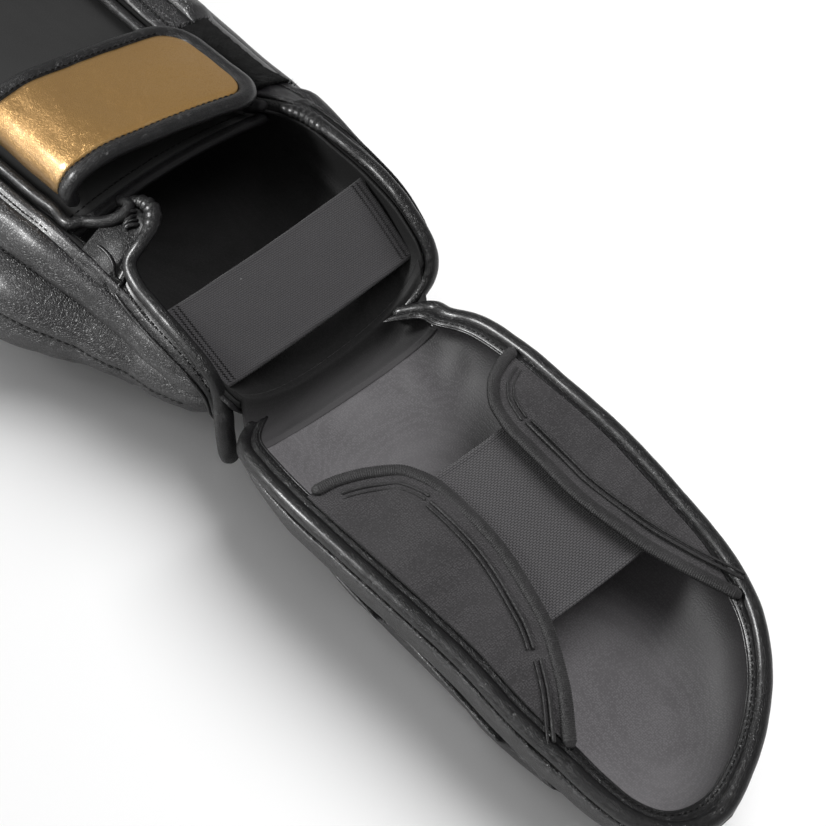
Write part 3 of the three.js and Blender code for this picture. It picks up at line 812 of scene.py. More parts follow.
def startPad(node):
    body = "foot" if node.startswith("foot") else "shin"
    mesh = frame["nodes"][node].data.copy()
    mesh.name = padName(node)
    mesh.materials.clear()
    mesh.materials.append(finishes["blackLeather"])
    piece = bpy.data.objects.new(padName(node), mesh)
    bpy.context.scene.collection.objects.link(piece)
    work = bmesh.new()
    work.from_mesh(mesh)
    bmesh.ops.remove_doubles(work, verts=work.verts, dist=1e-6)
    bmesh.ops.recalc_face_normals(work, faces=work.faces)
    work.normal_update()
    for vert in work.verts:
        vert.co -= vert.normal * softPads["shrink"] / 1000
    work.to_mesh(mesh)
    work.free()
    bpy.context.view_layer.objects.active = piece
    remesh = piece.modifiers.new("remesh", "REMESH")
    remesh.mode = "VOXEL"
    remesh.voxel_size = softPads["voxel"] / 1000
    relax = piece.modifiers.new("relax", "SMOOTH")
    relax.iterations = 3
    relax.factor = 0.5
    for modifier in ("remesh", "relax"):
        with bpy.context.temp_override(object=piece, active_object=piece):
            bpy.ops.object.modifier_apply(modifier=modifier)
    return piece, body, node


def swellPads(pads):
    starts = []
    for piece, body, node in pads:
        starts.append(np.array([v.co for v in piece.data.vertices]))
        cloth = piece.modifiers.new("cloth", "CLOTH")
        cloth.settings.quality = 6
        cloth.settings.mass = 0.25
        cloth.settings.tension_stiffness = 40
        cloth.settings.compression_stiffness = 12
        cloth.settings.bending_stiffness = 1.5
        cloth.settings.use_pressure = True
        cloth.settings.uniform_pressure_force = softPads["pressure"]
        cloth.settings.effector_weights.gravity = 0
        cloth.point_cache.frame_end = softPads["frames"]
    for step in range(1, softPads["frames"] + 1):
        bpy.context.scene.frame_set(step)
    graph = bpy.context.evaluated_depsgraph_get()
    for (piece, body, node), start in zip(pads, starts):
        swollen = piece.evaluated_get(graph).data
        end = np.array([v.co for v in swollen.vertices])
        normals = np.array([v.normal for v in piece.data.vertices])
        piece.modifiers.remove(piece.modifiers["cloth"])
        middle = stack(start[:, 0], crease[1] / 1000, softPads["middleHeight"] / 1000)
        inward = (normals * unit(middle - start)).sum(axis=1)
        free = smoothStep(-inward, -0.1, 0.4)  # the sewn side stays on the cover
        move = end - start
        length = np.linalg.norm(move, axis=1, keepdims=True)
        move = move * np.minimum(1, softPads["cap"] / 1000 / np.maximum(length, 1e-9)) * free[:, None]
        final = start + move
        piece.data.vertices.foreach_set("co", final.ravel())
    bpy.context.scene.frame_set(1)


def finishPads(pads):
    for piece, body, node in pads:
        co = np.array([v.co for v in piece.data.vertices])
        pressed = softPads["lineDepth"] / 1000 * hump((co[:, 0] * 1000) % softPads["linePitch"], 11, 1.6)
        normals = np.array([v.normal for v in piece.data.vertices])
        co = co - normals * pressed[:, None]
        co[:, 2] = np.maximum(co[:, 2], 0.0003)  # it rests on the floor and doesn't sink into it
        piece.data.vertices.foreach_set("co", co.ravel())
        piece.data.update()
        piece.data.polygons.foreach_set("use_smooth", [True] * len(piece.data.polygons))
        smooth = piece.modifiers.new("smooth", "SUBSURF")
        smooth.levels = 1
        smooth.render_levels = 1
        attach(piece, body)
        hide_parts(node)


pads = [startPad(node) for node in softPads["nodes"]]
swellPads(pads)
finishPads(pads)
print("pads made")


# rims and piping of the shin half
def shinRimLine(s, side, radius, lift=1.0):
    middle = shinOuter(s, 1) / 2
    edge = shinAt(s, side, middle)
    along = unit(shinAt(s + 2, side, middle) - shinAt(s - 2, side, middle))
    beyond = edge - shinAt(s, side * 0.97, middle)
    beyond = unit(beyond - along * (beyond * along).sum(axis=-1, keepdims=True))
    return edge + beyond * (radius + lift)


ankleRim = {
    "steps": 200,
    "stations": {"left": [52, 45, 38, 30, 24, 18, 13], "right": [52, 45, 38, 30, 22, 16, 10, 5]},
    # the left rim starts inside, under the strap, and turns out to the edge
    "leftHead": [(-83, -33, 37.5), (-76.5, -28.5, 39), (-70, -28.8, 39.5), (-65, -34, 37.5),
                 (-62.8, -41, 35.5), (-61.6, -47.5, 32)],
    "rightHead": [(-82, 47, 33), (-74, 50.5, 32), (-66, 52, 31), (-59, 53, 30)],
    # down the front of each ear: share of the wall, forward reach, outward flare
    "leftFront": [(0.965, -4.5, 4), (0.90, -1.5, 8), (0.83, 0.5, 11.5), (0.76, 1.0, 14), (0.70, 0.5, 15.5)],
    "rightFront": [(0.96, 2.3, 0.2), (0.86, 2.5, 0.2), (0.76, 2.4, -0.3), (0.66, 1.6, -1.2),
                   (0.56, 0.6, -2.0)],
    "earSwell": {"left": (1.4, 1.4), "right": (1, 0.95)},  # how full the rim is on the ear and at its end
    "bead": 0.75,
}


def earFront(v, side, forward, flare):
    return shinAt(0.0, side * v, shinOuter(0.0, v) / 2) + np.array([forward, side * flare, -abs(flare)])


def ankleRimLines(side):  # the rolled rim, and the line on the wall where its leather facing ends
    name = "left" if side < 0 else "right"
    head, front = ankleRim[name + "Head"], ankleRim[name + "Front"]
    stations = np.array(ankleRim["stations"][name], float)
    rim = [np.array(q, float) for q in head]
    rim += list(shinRimLine(stations, side, guardSize["ankleRim"]))
    rim += [earFront(v, side, forward, flare) for v, forward, flare in front]
    back = [shinAt(s, side * 0.93, shinOuter(s, 0.93) + 0.4) for s in np.linspace(80, 61, len(head))]
    back += [shinAt(12 + 0.86 * s, side * 0.90, shinOuter(12 + 0.86 * s, 0.9) + 0.5) for s in stations]
    back += [shinAt(13.0, side * (v - 0.12), shinOuter(13.0, v - 0.12) + 0.7) for v, _, _ in front]
    return smoothPath(rim, ankleRim["steps"]), smoothPath(back, ankleRim["steps"])


def makeAnkleRims():
    for side, turn in (("Left", -1), ("Right", 1)):
        rim, back = ankleRimLines(turn)
        t = np.linspace(0, 1, len(rim))
        gathers = hump(t, 0.08, 0.07) * np.sin(t * 260)
        ear, end = ankleRim["earSwell"][side.lower()]
        swell = curve([0, 0.8], [0.05, 1], [0.12, 1.2], [0.22, 1], [0.72, 1], [0.86, ear], [1, end])(t)
        radius = guardSize["ankleRim"] * swell * (1 + 0.1 * gathers + 0.03 * ripple(t * 30, t, 1.0))
        parts = [tubeParts(onShin(rim), radius, sides=20, flat=0.85)]
        share = np.linspace(0.1, 1, 12)[None, :, None]
        facing = rim[:, None, :] * (1 - share) + back[:, None, :] * share
        outward = unit(back - rim)
        lift = np.cross(np.gradient(rim, axis=0), outward)
        lift = unit(lift) * np.sign((lift * np.array([0, turn, 0.5])).sum(axis=1))[:, None]
        bulge = np.sin(share[0, :, 0] * math.pi) - 1.3 * hump(share[0, :, 0], 0.25, 0.12)
        top = facing + lift[:, None, :] * (0.9 + bulge)[None, :, None]
        parts.append(slabParts(onShin(facing - lift[:, None, :] * 0.3), onShin(top)))
        bead = facing[:, 7, :] + lift * (1.3 + bulge[7])
        parts.append(tubeParts(onShin(bead[10:-6]), ankleRim["bead"], sides=8))
        makePiece(
            "ankleRim" + side, joinParts(parts), finishes["pipingLeather"], "shin",
            ["ankle_rim_" + side.lower()])
        groove = facing[:, 3, :] + lift * (1.0 + bulge[3])
        row = stitchParts(onShin(groove[30:-20]), tuple(onShin(lift).mean(axis=0) - crease), 2.7, 1.7, 0.3)
        makePiece("ankleRimStitches" + side, row, finishes["thread"], "shin")


calfPiping = {
    "start": 328,
    "end": 90,
    "leftTail": [(-88, -50.5, 36), (-82.5, -46, 36.5), (-78.5, -41, 37.5), (-77.2, -36.5, 38.5),
                 (-79.5, -33, 38.8), (-84, -33.5, 38)],
    "points": 420,
}


def makeCalfPiping():
    for side, turn in (("Left", -1), ("Right", 1)):
        s = np.linspace(calfPiping["start"], calfPiping["end"], 24)
        path = list(shinRimLine(s, turn, guardSize["piping"], 0.8))
        if turn < 0:  # its end turns in to the knot under the strap
            path += [np.array(q, float) for q in calfPiping["leftTail"]]
        path = smoothPath(path, calfPiping["points"])
        t = np.linspace(0, 1, calfPiping["points"])
        radius = guardSize["piping"] * (1 + 0.03 * ripple(t * 50, t * 7, 2.0))
        makePiece(
            "calfPiping" + side, tubeParts(onShin(path), radius, sides=16), finishes["pipingLeather"], "shin",
            ["calf_piping_" + side.lower()])
        s = np.linspace(322, 96, 200)
        depth = shinOuter(s, pipingSeam) - 0.35
        line = surfaceStitches(shinAt, onShin, s, np.full_like(s, pipingSeam * turn), depth, 2.7, 1.8, 0.34)
        makePiece("pipingStitches" + side, line, finishes["thread"], "shin")


rimKnot = {"from": (-78.5, -34.5, 37.2), "to": (-70.5, -37.5, 35.8), "folds": 6, "reach": 2.9}


def makeKnot():  # gathered leather where the piping meets the ankle rim
    first, last = np.array(rimKnot["from"], float), np.array(rimKnot["to"], float)
    parts = []
    for i in range(rimKnot["folds"]):
        turn = i / (rimKnot["folds"] - 1)
        centre = first + (last - first) * turn
        centre = centre + np.array([0.6 * math.sin(5 * turn), -0.8, 0.3 * math.cos(7 * turn)])
        angles = np.linspace(-0.5, 3.9, 24)
        reach = rimKnot["reach"] * (1 + 0.14 * math.sin(i * 2.3))
        lean = 0.8 * math.sin(i * 1.7)
        x = lean * np.sin(angles * 2) + 0.5 * np.cos(angles)
        loop = centre + stack(x, reach * np.cos(angles), reach * 0.8 * np.sin(angles))
        parts.append(tubeParts(onShin(loop), 0.8 + 0.15 * math.sin(i * 2.9), sides=8))
    makePiece("rimKnot", joinParts(parts), finishes["pipingLeather"], "shin")


kneeBinding = {"radius": 4.2, "beyond": 4.3, "reach": 0.93}


def makeKneeBinding():
    v = np.linspace(-kneeBinding["reach"], kneeBinding["reach"], 120)
    length = float(guardSize["shinLength"])
    path = shinAt(length, v, shinOuter(length, v) / 2) - np.array([kneeBinding["beyond"], 0, 0])
    binding = tubeParts(onShin(path), kneeBinding["radius"], sides=18)
    makePiece("kneeBinding", binding, finishes["pipingLeather"], "shin", ["knee_binding"])


makeAnkleRims()
makeCalfPiping()
makeKnot()
makeKneeBinding()
print("rims made")

# calf panel, ankle elastic and loop patches
calfPanel = {"start": 94, "end": 322, "inset": 0.95, "depth": 2, "bow": 6, "thickness": 1.8, "binding": 2.7}


def panelPoint(s, t, lift):
    left = shinAt(s, -calfPanel["inset"], -calfPanel["depth"])
    right = shinAt(s, calfPanel["inset"], -calfPanel["depth"])
    point = left + (right - left) * t[..., None]
    rise = calfPanel["bow"] * (1 - (2 * t - 1) ** 2) + lift
    point[..., 2] += rise
    return point


def makeCalfPanel():
    s, t = evenGrid((calfPanel["start"], calfPanel["end"], 90), (0, 1, 60))
    sway = 0.5 * ripple(s / 40, t * 3, 0.8)
    lower, upper = (onShin(panelPoint(s, t, sway + k * calfPanel["thickness"] / 2)) for k in (-1, 1))
    panel = makePiece(
        "calfPanel", slabParts(lower, upper), finishes["panelCloth"], "shin", ["calf_panel"])
    t = np.linspace(0.015, 0.985, 90)
    start = np.full_like(t, float(calfPanel["start"]))
    edge = panelPoint(start, t, 0.0) + np.array([2.6, 0, 0])
    binding = tubeParts(onShin(edge), calfPanel["binding"], sides=14, flat=0.8)
    makePiece(
        "calfPanelBinding", binding, finishes["pipingLeather"], "shin",
        ["calf_panel_binding"])
    seam = stitchParts(onShin(panelPoint(start + 4.0, t, calfPanel["thickness"] / 2)), (0, 0, 1))
    makePiece("calfPanelStitches", seam, finishes["thread"], "shin")


ankleBand = {"start": (-8, 3), "end": (-41, 20), "inset": 1.6, "thickness": 1.5, "sag": 1.5}


def bandPoint(u, t, lift):
    low, high = ankleBand["start"], ankleBand["end"]
    x = low[0] + (high[0] - low[0]) * u
    z = low[1] + (high[1] - low[1]) * u - ankleBand["sag"] * (1 - (2 * t - 1) ** 2) + lift
    left = -shinProfile["leftWidth"](-x) + ankleBand["inset"]
    right = shinProfile["rightWidth"](-x) - ankleBand["inset"]
    return stack(x, left + (right - left) * t, z)


def makeAnkleElastic():
    u, t = evenGrid((0, 1, 46), (0, 1, 90))
    edgeRoll = 0.25 * (hump(u, 0.03, 0.02) + hump(u, 0.97, 0.02))
    wave = 0.22 * ripple(u * 3, t * 7, 2.6) + edgeRoll
    half = ankleBand["thickness"] / 2
    lower, upper = onShin(bandPoint(u, t, wave - half)), onShin(bandPoint(u, t, wave + half))
    band = makePiece(
        "ankleElastic", slabParts(lower, upper), finishes["ankleElastic"], "shin",
        ["ankle_elastic"])
    rows = []
    for place in (0.028, 0.05, 0.95, 0.972):  # two rows of zigzag at each end
        along = np.linspace(0.02, 0.98, 60)
        zig = place + 0.004 * (-1.0) ** np.arange(60)
        line = bandPoint(along, zig, half + 0.15)
        rows.append(tubeParts(onShin(line), 0.2, sides=5))
    makePiece("ankleElasticStitches", joinParts(rows), finishes["thread"], "shin")


loopPatch = {
    "tufts": 900,
    "length": 2.6,
    "thickness": 1.5,
    "fibre": 0.14,
    "places": {"lower": (94, 146, 1.3), "upper": (240, 292, 2.7)},  # start and end along the shin, seed
}


def makeLoopPatch(name, node, low, high, seed):
    s, v = evenGrid((low, high, 40), (0.86, 0.985, 24))
    base = shinOuter(s, v) + 0.4 + 0.8 * smoothStep(v, 0.9, 0.86)
    pile = loopPatch["thickness"] * (0.8 + 0.2 * ripple(s / 2, v * 90, seed))
    parts = [slabParts(onShin(shinAt(s, v, base)), onShin(shinAt(s, v, base + pile)))]
    chance = np.random.default_rng(int(seed * 10))
    for i in range(loopPatch["tufts"]):
        ps, pv = chance.uniform(low - 0.8, high + 0.8), chance.uniform(0.85, 0.995)
        if chance.random() < 0.45:
            ps = chance.choice([low - 0.5, high + 0.5]) + chance.normal(0, 0.5)
        depth = shinOuter(ps, pv) + 1.2
        root = onShin(shinAt(ps, pv, depth))
        tip = onShin(shinAt(ps, pv, depth + loopPatch["length"] * chance.uniform(0.3, 0.8)))
        lean = chance.normal(0, 0.6, 3)
        side = unit(chance.normal(0, 1, 3)) * loopPatch["fibre"]
        other = unit(np.cross(side, tip - root)) * loopPatch["fibre"]
        corners = [root + side, root - side * 0.5 + other, root - side * 0.5 - other, tip + lean]
        parts.append((np.array(corners), [(0, 1, 2), (0, 3, 1), (1, 3, 2), (2, 3, 0)]))
    makePiece(name, joinParts(parts), finishes["loopPile"], "shin", [node])


makeCalfPanel()
makeAnkleElastic()
for label, (low, high, seed) in loopPatch["places"].items():
    makeLoopPatch(label + "LoopPatch", label + "_loop_patch", low, high, seed)
print("bands made")

# straps
strapShape = {
    "knots": [(-48, 42), (-50, 47), (-46, 52.5), (-37, 55), (-10, 52.5), (14, 48), (30, 44), (43, 39.5)],
    "slant": 7,
    "thickness": 5,
    "border": 8,
    "corner": 9,
    "tip": 0.93,
    "points": 200,
    "places": {"lower": (90, 154, 1, 0), "upper": (236, 300, 1.12, 7.5)},  # start, end, widening, lift
}


def makeStrap(body, label, start, end, widen, lift):
    knots = np.array([(0, y * widen, z + lift) for y, z in strapShape["knots"]], float)
    line = smoothPath(knots, strapShape["points"])
    tangents = unit(np.gradient(line, axis=0))
    places = np.linspace(0, 1, strapShape["points"])
    half = strapShape["thickness"] / 2

    def strapPoint(x, t, rise):
        y = np.interp(t, places, line[:, 1])
        z = np.interp(t, places, line[:, 2])
        ty, tz = np.interp(t, places, tangents[:, 1]), np.interp(t, places, tangents[:, 2])
        return stack(x + strapShape["slant"] * t, y - tz * rise, z + ty * rise)

    total = np.linalg.norm(np.diff(line, axis=0), axis=1).sum()
    border = strapShape["border"]
    xLow, xHigh = -end + border, -start - border
    tip = strapShape["tip"]
    corner = strapShape["corner"]

    def widthAt(t):  # how far the face's long sides pull in round the end's corners
        left = np.clip((tip - t) * total / corner, 0, 1)
        return corner * (1 - np.sqrt(1 - (1 - left) ** 2))

    t = np.concatenate([np.linspace(0, 0.8, 90), np.linspace(0.81, tip, 40)])
    share = np.linspace(0, 1, 46)
    inset = widthAt(t)[:, None]
    x = xLow + inset + (xHigh - xLow - 2 * inset) * share[None, :]
    along = np.broadcast_to(t[:, None], x.shape)
    edgeDip = 0.5 * (hump(share, 0, 0.03) + hump(share, 1, 0.03))[None, :]
    crown = 0.35 * (1 - (2 * share - 1) ** 2)[None, :] + 0.18 * ripple(along * 14, share[None, :] * 4, 3.0)
    top = half - 0.2 + crown - edgeDip
    face = slabParts(onShin(strapPoint(x, along, 0.4)), onShin(strapPoint(x, along, top)))
    makePiece(label + "Face", face, finishes["goldLeather"], body, [body + "_face"])
    backing = slabParts(onShin(strapPoint(x, along, 0.1 - half)), onShin(strapPoint(x, along, 0)))
    makePiece(label + "Backing", backing, finishes["loopPile"], body, [body + "_backing"])

    # padded leather binding round three sides, with rounded corners at the free end
    tube = border / 2 - 0.35
    low, high = xLow - tube - 0.1, xHigh + tube + 0.1
    bend = corner + tube
    straight = np.linspace(0.0, tip - 0.02, 110)
    cornerAngles = np.linspace(0.1, math.pi / 2, 14)
    tipPlace = tip + (tube + 0.1) / total
    rimX, rimT = [np.full_like(straight, low)], [straight * (1 - bend / total / tip)]
    rimX.append(low + bend * (1 - np.cos(cornerAngles)))
    rimT.append(tipPlace - bend / total * (1 - np.sin(cornerAngles)))
    rimX.append(np.linspace(low + bend + 1, high - bend - 1, 16))
    rimT.append(np.full(16, tipPlace))
    rimX.append(high - bend * (1 - np.cos(cornerAngles[::-1])))
    rimT.append(tipPlace - bend / total * (1 - np.sin(cornerAngles[::-1])))
    rimX.append(np.full_like(straight, high))
    rimT.append(straight[::-1] * (1 - bend / total / tip))
    rimX, rimT = np.concatenate(rimX), np.concatenate(rimT)
    path = smoothPath(onShin(strapPoint(rimX, rimT, 0.1))[::3], 330)
    bulge = 1 + 0.03 * ripple(np.linspace(0, 40, 330), np.linspace(0, 9, 330), 1.7)
    binding = tubeParts(path, (tube + 0.3) * bulge, sides=18, flat=0.8)
    makePiece(
        label + "Binding", binding, finishes["pipingLeather"], body, [body + "_binding"])
    rows = []
    for x in (xLow - 1.2, xHigh + 1.2):
        seam = onShin(strapPoint(x, straight * tip, half - 0.2))
        rows.append(stitchParts(seam, (0, 0, 1), pitch=2.6, length=1.7))
    makePiece(label + "Stitches", joinParts(rows), finishes["thread"], body)


for label, (start, end, widen, lift) in strapShape["places"].items():
    makeStrap(label + "_strap", label + "Strap", start, end, widen, lift)
print("straps made")

# soft hinge at the crease
ankleHinge = {
    "rows": 30,
    "columns": 80,
    "sag": 4.5,
    "overlap": 12,  # millimetres of shell that each end lies on, for a whole step of u past it
    "layers": [  # piece, node, reach to the side, depth, thickness, finish, slot, seed
        # the lining layer takes the ankle lining finish, with its painted shade
        ("ankleHingeLining", "ankle_hinge_lining", 0.93, 0.0, 1.5, "paintedShadeAnkleLining", "lining", 1.0),
        ("ankleHingeCover", "ankle_hinge_cover", 0.8, 4.2, 1.6, "blackLeather", "black_leather", 2.0),
    ],
}


def makeHinge():
    start, overlap = guardSize["footStart"], ankleHinge["overlap"]
    for label, node, edge, depth, thick, finish, slotName, seed in ankleHinge["layers"]:
        # u is 0 at the end of the shin half and 1 at the start of the foot half
        u, v = evenGrid((-0.25, 1.2, ankleHinge["rows"]), (-edge, edge, ankleHinge["columns"]))
        fold = 0.5 * hump(u, 0.45, 0.18) + 0.25 * ripple(u * 4, v * 6, seed)
        push = 0.45 if depth == 0 else 0.0  # the lining layer lies just inside the shells' linings
        surfaces = []
        for extra in (0.0, thick):
            near = onShin(shinAt(0.5 + np.clip(-u, 0, 1) * overlap, v, depth + extra - push))
            far = onFoot(footAt(start + np.clip(u - 1, 0, 1) * overlap, v, depth + extra - push))
            share = np.clip(u, 0, 1)[..., None]
            sheet = near + (far - near) * share
            sheet[..., 2] -= ankleHinge["sag"] * (4 * share * (1 - share))[..., 0] - fold
            surfaces.append(sheet)
        piece = makePiece(label, slabParts(*surfaces), finishes[finish], None, [node])
        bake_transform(piece)


makeHinge()
print("hinge made")

# foot half
footShell = {"straightRows": 64, "toeRows": 46, "columns": 80, "straightEnd": 180}


def footGridLines():  # the rows crowd together towards the tip of the toes
    end = footShell["straightEnd"]
    straight = np.linspace(guardSize["footStart"] + 0.3, end, footShell["straightRows"])
    quarter = np.linspace(0, math.pi / 2, footShell["toeRows"] + 1)[1:]
    return np.concatenate([straight, end + (guardSize["footTip"] - end) * np.sin(quarter)])


def makeFootShell():
    columns = np.linspace(-shellEdge, shellEdge, footShell["columns"])
    x, v = np.meshgrid(footGridLines(), columns, indexing="ij")
    heel = smoothStep(x, 62, 30)
    folds = 0.7 * heel * ripple(x / 9, v * 4, 0.6) + 1.1 * heel * hump(v + x / 260, 0.42, 0.07)
    folds = folds + 0.9 * heel * hump(v - x / 300, -0.5, 0.08) + 0.35 * ripple(x / 26, v * 3, 3.6)
    folds = folds * smoothStep(x, 16, 24)
    depths = (0.05 - folds, guardSize["lining"] - 0.1 - folds)
    makeShell("foot", footAt, onFoot, footOuter, x, v, depths, 0.25 * ripple(x / 14, v * 5, 1.1) - 0.2)


makeFootShell()

footRim = {
    "stations": [20, 30, 50, 75, 105, 140, 165, 185, 202, 214, 223],
    "leftStart": [(9, -48, -7.5), (13, -53.5, -4.5)],
    "rightStart": [(12.5, 39.5, -1.8), (7.5, 34.5, -4.2), (3, 29, -7)],
    "flange": 5.6,
    "bead": 0.6,
    "under": (2.9, 2.25),  # drop and radius of the cord under the rim that closes it to the shell
    "points": 420,
}


def footRimPoints(offset, lift):  # the rim line, moved inwards by offset and up by lift
    stations = np.array(footRim["stations"], float)
    points = []
    for side in (-1, 1):
        edge = footAt(stations, np.full_like(stations, float(side)), footOuter(stations, 1) / 2)
        edge[:, 1] += side * (0.8 - offset) * (0.3 + 0.7 * toeShare(stations))
        edge[:, 0] -= (offset - 0.8) * (1 - toeShare(stations))
        edge[:, 2] += 5.0 + lift
        points.append(edge)
    end = float(guardSize["footTip"])
    tip = footAt(end, 0.0, footOuter(end, 1) / 2)
    toe = np.array([end + 5.4 - offset, tip[1], points[1][-1][2] - 2])
    shift = np.array([0, offset, lift])
    first = np.array(footRim["leftStart"], float) + shift
    last = np.array(footRim["rightStart"], float) + shift * (1, -1, 1)
    line = np.vstack([first, points[0], toe[None, :], points[1][::-1], last])
    return smoothPath(line, footRim["points"])


def makeFootRim():
    main = footRimPoints(0.0, 0.0)
    t = np.linspace(0, 1, len(main))
    ends = curve([0, 0.75], [0.03, 1], [0.97, 1], [1, 0.8])(t)
    radius = guardSize["footRim"] * (1 + 0.03 * ripple(t * 80, t * 9, 0.5)) * ends
    parts = [tubeParts(onFoot(main), radius, sides=22)]
    drop, underRadius = footRim["under"]
    parts.append(tubeParts(onFoot(main - np.array([0, 0, drop])), underRadius * ends, sides=12))
    near = footRimPoints(1.2, 1.9)
    inner = footRimPoints(footRim["flange"] + 1.6, 0.3)
    share = np.linspace(0, 1, 9)
    grid = near[:, None, :] + (inner - near)[:, None, :] * share[None, :, None]
    grid[..., 2] += (0.5 * np.sin(share * math.pi) - 0.9 * hump(share, 0.3, 0.14))[None, :]
    grid[..., 2] += 0.25 * ripple(t * 60, t * 5, 3.0)[:, None] * share[None, :]
    parts.append(slabParts(onFoot(grid - np.array([0, 0, 1.1])), onFoot(grid)))
    parts.append(tubeParts(onFoot(grid[:, -1, :] - np.array([0, 0, 0.35])), footRim["bead"], sides=8))
    makePiece("footRim", joinParts(parts), finishes["pipingLeather"], "foot", ["foot_rim"])
    seam = grid[:, 6, :][8:-8]
    row = stitchParts(onFoot(seam), (0, 0, 1), pitch=2.4, length=1.6, radius=0.25)
    makePiece("footRimStitches", row, finishes["thread"], "foot")


makeFootRim()

soleWing = {
    # the free edges
    "left": curve([52.5, -54], [54.5, -44], [60, -31.5], [68, -21.5], [82, -16.5], [105, -15.5], [140, -21],
                  [165, -32], [184, -45]),
    "right": curve([51, 45], [53, 37.5], [58, 28.5], [68, 21.8], [82, 19.3], [107, 19.3], [138, 24],
                   [158, 30], [179, 38.5]),
    "leftRange": (53, 183.5),
    "rightRange": (51.5, 178.5),
    "lift": 4.5,
    "thickness": 2,
    "binding": 2.5,
    "ribPitch": 0.85,
    "ribDepth": 0.07,
    "step": 0.24,
    "seams": ((5.8, 0.75), (7.9, 0.5)),  # each row's distance from the free edge, and its thread
    # start, end and inward shift of each run of a row
    "leftRuns": ((0.08, 0.31, 0), (0.32, 0.69, 1.3), (0.70, 0.97, 0)),
    "rightRuns": ((0.06, 0.3, 0), (0.31, 0.97, 0.8)),
    "rows": 110,
}


def wingEdge(x, side):
    return footProfile["middle"](x) + side * (footSide(x, side) * toeShare(x) - 1.0)


def wingPoint(x, t, side, lift):
    free = soleWing["left"](x) if side < 0 else soleWing["right"](x)
    y = wingEdge(x, side) + (free - wingEdge(x, side)) * t
    return stack(x, y, footProfile["rim"](x) + soleWing["lift"] + 1.5 * t + lift)


def makeWings():
    for side, turn in (("Left", -1), ("Right", 1)):
        first, last = soleWing[side.lower() + "Range"]
        stations = first + (last - first) * (1 - np.cos(np.linspace(0, math.pi, soleWing["rows"]))) / 2
        x, t = np.meshgrid(stations, np.linspace(0, 1, 44), indexing="ij")
        sway = 0.3 * ripple(x / 16, t * 3, 2.2 + turn) - 0.6 * np.sin(t * math.pi)
        half = soleWing["thickness"] / 2
        lower = onFoot(wingPoint(x, t, turn, sway - half))
        upper = onFoot(wingPoint(x, t, turn, sway + half))
        wing = makePiece(
            "soleWing" + side, slabParts(lower, upper), finishes["wingCloth"], "foot",
            ["sole_wing_" + side.lower()])
        free = wingPoint(stations, np.ones_like(stations), turn, 0.15)
        tangents = unit(np.gradient(free, axis=0))
        inwards = unit(np.cross(tangents, (0, 0, 1.0))) * turn  # towards the middle of the foot
        path = evenPath(smoothPath(onFoot(free - inwards * 0.3), 900), soleWing["step"])
        along = np.arange(len(path)) * soleWing["step"]
        ribs = 1 + soleWing["ribDepth"] * np.sin(2 * math.pi * along / soleWing["ribPitch"])
        binding = tubeParts(path, soleWing["binding"] * ribs, sides=14, flat=0.62)
        makePiece(
            "soleWingBinding" + side, binding, finishes["overlock"], "foot",
            ["sole_wing_binding_" + side.lower()])
        lines = []
        for offset, radius in soleWing["seams"]:
            for start, stop, shift in soleWing[side.lower() + "Runs"]:
                chosen = slice(int(start * soleWing["rows"]), int(stop * soleWing["rows"]))
                run = free[chosen] - inwards[chosen] * (offset + shift)
                run = run[np.abs(run[:, 1] - wingEdge(run[:, 0], turn)) > 2.5]  # clear of the foot rim
                run[:, 2] += half - 0.55
                if len(run) > 3:
                    lines.append(tubeParts(onFoot(smoothPath(run, 120)), radius, sides=8))
        makePiece("wingSeam" + side, joinParts(lines), finishes["overlock"], "foot")


makeWings()

soleBand = {"start": 74, "end": 145, "under": 7, "drop": 2.6, "sag": 2, "thickness": 1.6}


def solePoint(x, t, lift):
    y = soleWing["left"](x) - soleBand["under"]
    y = y + (soleWing["right"](x) + soleBand["under"] - y) * t
    fall = soleBand["sag"] * (1 - (2 * t - 1) ** 2)
    return stack(x, y, footProfile["rim"](x) + soleWing["lift"] - soleBand["drop"] - fall + lift)


def makeSoleElastic():
    x, t = evenGrid((soleBand["start"], soleBand["end"], 116), (0, 1, 50))
    rolled = 0.45 * (hump(x, soleBand["start"] + 1.2, 1.0) + hump(x, soleBand["end"] - 1.2, 1.0))
    wave = rolled + 0.3 * ripple(x / 22, t * 2, 0.9)
    half = soleBand["thickness"] / 2
    lower, upper = onFoot(solePoint(x, t, wave - half)), onFoot(solePoint(x, t, wave + half))
    band = makePiece(
        "soleElastic", slabParts(lower, upper), finishes["soleElastic"], "foot", ["sole_elastic"])


makeSoleElastic()
print("foot made")

# floor, light and camera
studio = {
    "azimuth": 50.5, "elevation": 56.0, "distance": 742, "lens": 85, "target": (44, 2, 40),
    "floorColour": (0.93, 0.93, 0.93), "worldLight": 0.3,
    # place and side length in metres, watts, and whether it gives soft light or only highlights
    "lights": [
        ("keyLight", (0.25, 0.8, 1.3), 1.2, 30, "soft"),
        ("shineLight", (-0.75, -0.85, 1.05), 0.36, 44, "shine"),
        ("lowShineLight", (-0.7, -1.3, 0.8), 1.0, 12, "shine"),
    ],
}


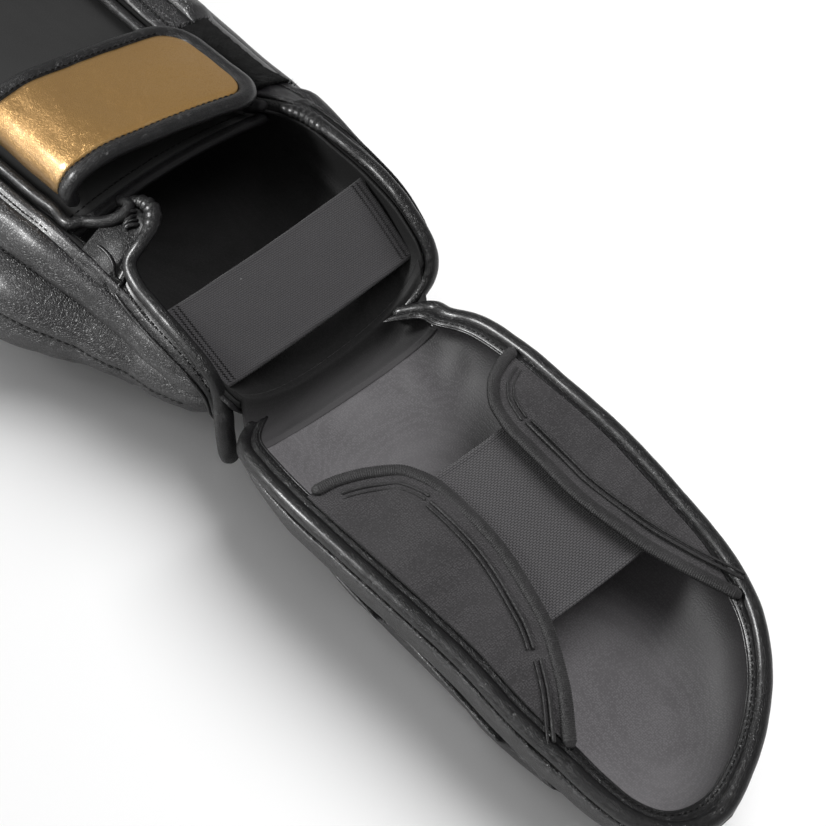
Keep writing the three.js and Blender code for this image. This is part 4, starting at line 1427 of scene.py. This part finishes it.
def makeFloor():
    mesh = bpy.data.meshes.new("studioFloor")
    work = bmesh.new()
    bmesh.ops.create_grid(work, x_segments=8, y_segments=8, size=6)
    work.to_mesh(mesh)
    work.free()
    floor = bpy.data.objects.new("studioFloor", mesh)
    bpy.context.scene.collection.objects.link(floor)
    material, tree, shader, vector = startMaterial("paperFloor")
    fibres = textureNode(tree, "Noise", vector, Scale=900.0, Detail=2.0)
    shader.inputs["Base Color"].default_value = (*studio["floorColour"], 1)
    tree.links.new(mapRange(tree, fibres.outputs["Fac"], 0, 1, 0.8, 0.9), shader.inputs["Roughness"])
    mesh.materials.append(material)


def makeLights():
    for name, place, size, power, use in studio["lights"]:
        light = bpy.data.lights.new(name, "AREA")
        light.size = size
        light.energy = power
        lamp = bpy.data.objects.new(name, light)
        lamp.visible_diffuse = use == "soft"
        lamp.visible_glossy = use == "shine"
        bpy.context.scene.collection.objects.link(lamp)
        centre = Vector(crease / 1000)
        lamp.location = centre + Vector(place)
        lamp.rotation_euler = Vector(place).to_track_quat("Z", "Y").to_euler()
    world = bpy.data.worlds.new("studioWorld")
    bpy.context.scene.world = world
    world.use_nodes = True
    world.node_tree.nodes["Background"].inputs["Color"].default_value = (1, 1, 1, 1)
    world.node_tree.nodes["Background"].inputs["Strength"].default_value = studio["worldLight"]


def makeCamera():
    camera = bpy.data.objects.new("camera", bpy.data.cameras.new("camera"))
    bpy.context.scene.collection.objects.link(camera)
    camera.data.lens = studio["lens"]
    camera.data.sensor_width = 36
    a, e = math.radians(studio["azimuth"]), math.radians(studio["elevation"])
    back = Vector((math.sin(a) * math.cos(e), -math.cos(a) * math.cos(e), math.sin(e)))
    target = Vector(studio["target"]) / 1000 + Vector((crease[0], crease[1], 0)) / 1000
    camera.location = target + back * studio["distance"] / 1000
    camera.rotation_euler = back.to_track_quat("Z", "Y").to_euler()
    bpy.context.scene.camera = camera


bpy.context.scene.view_settings.view_transform = "Standard"
makeFloor()
makeLights()
makeCamera()
print("studio made")
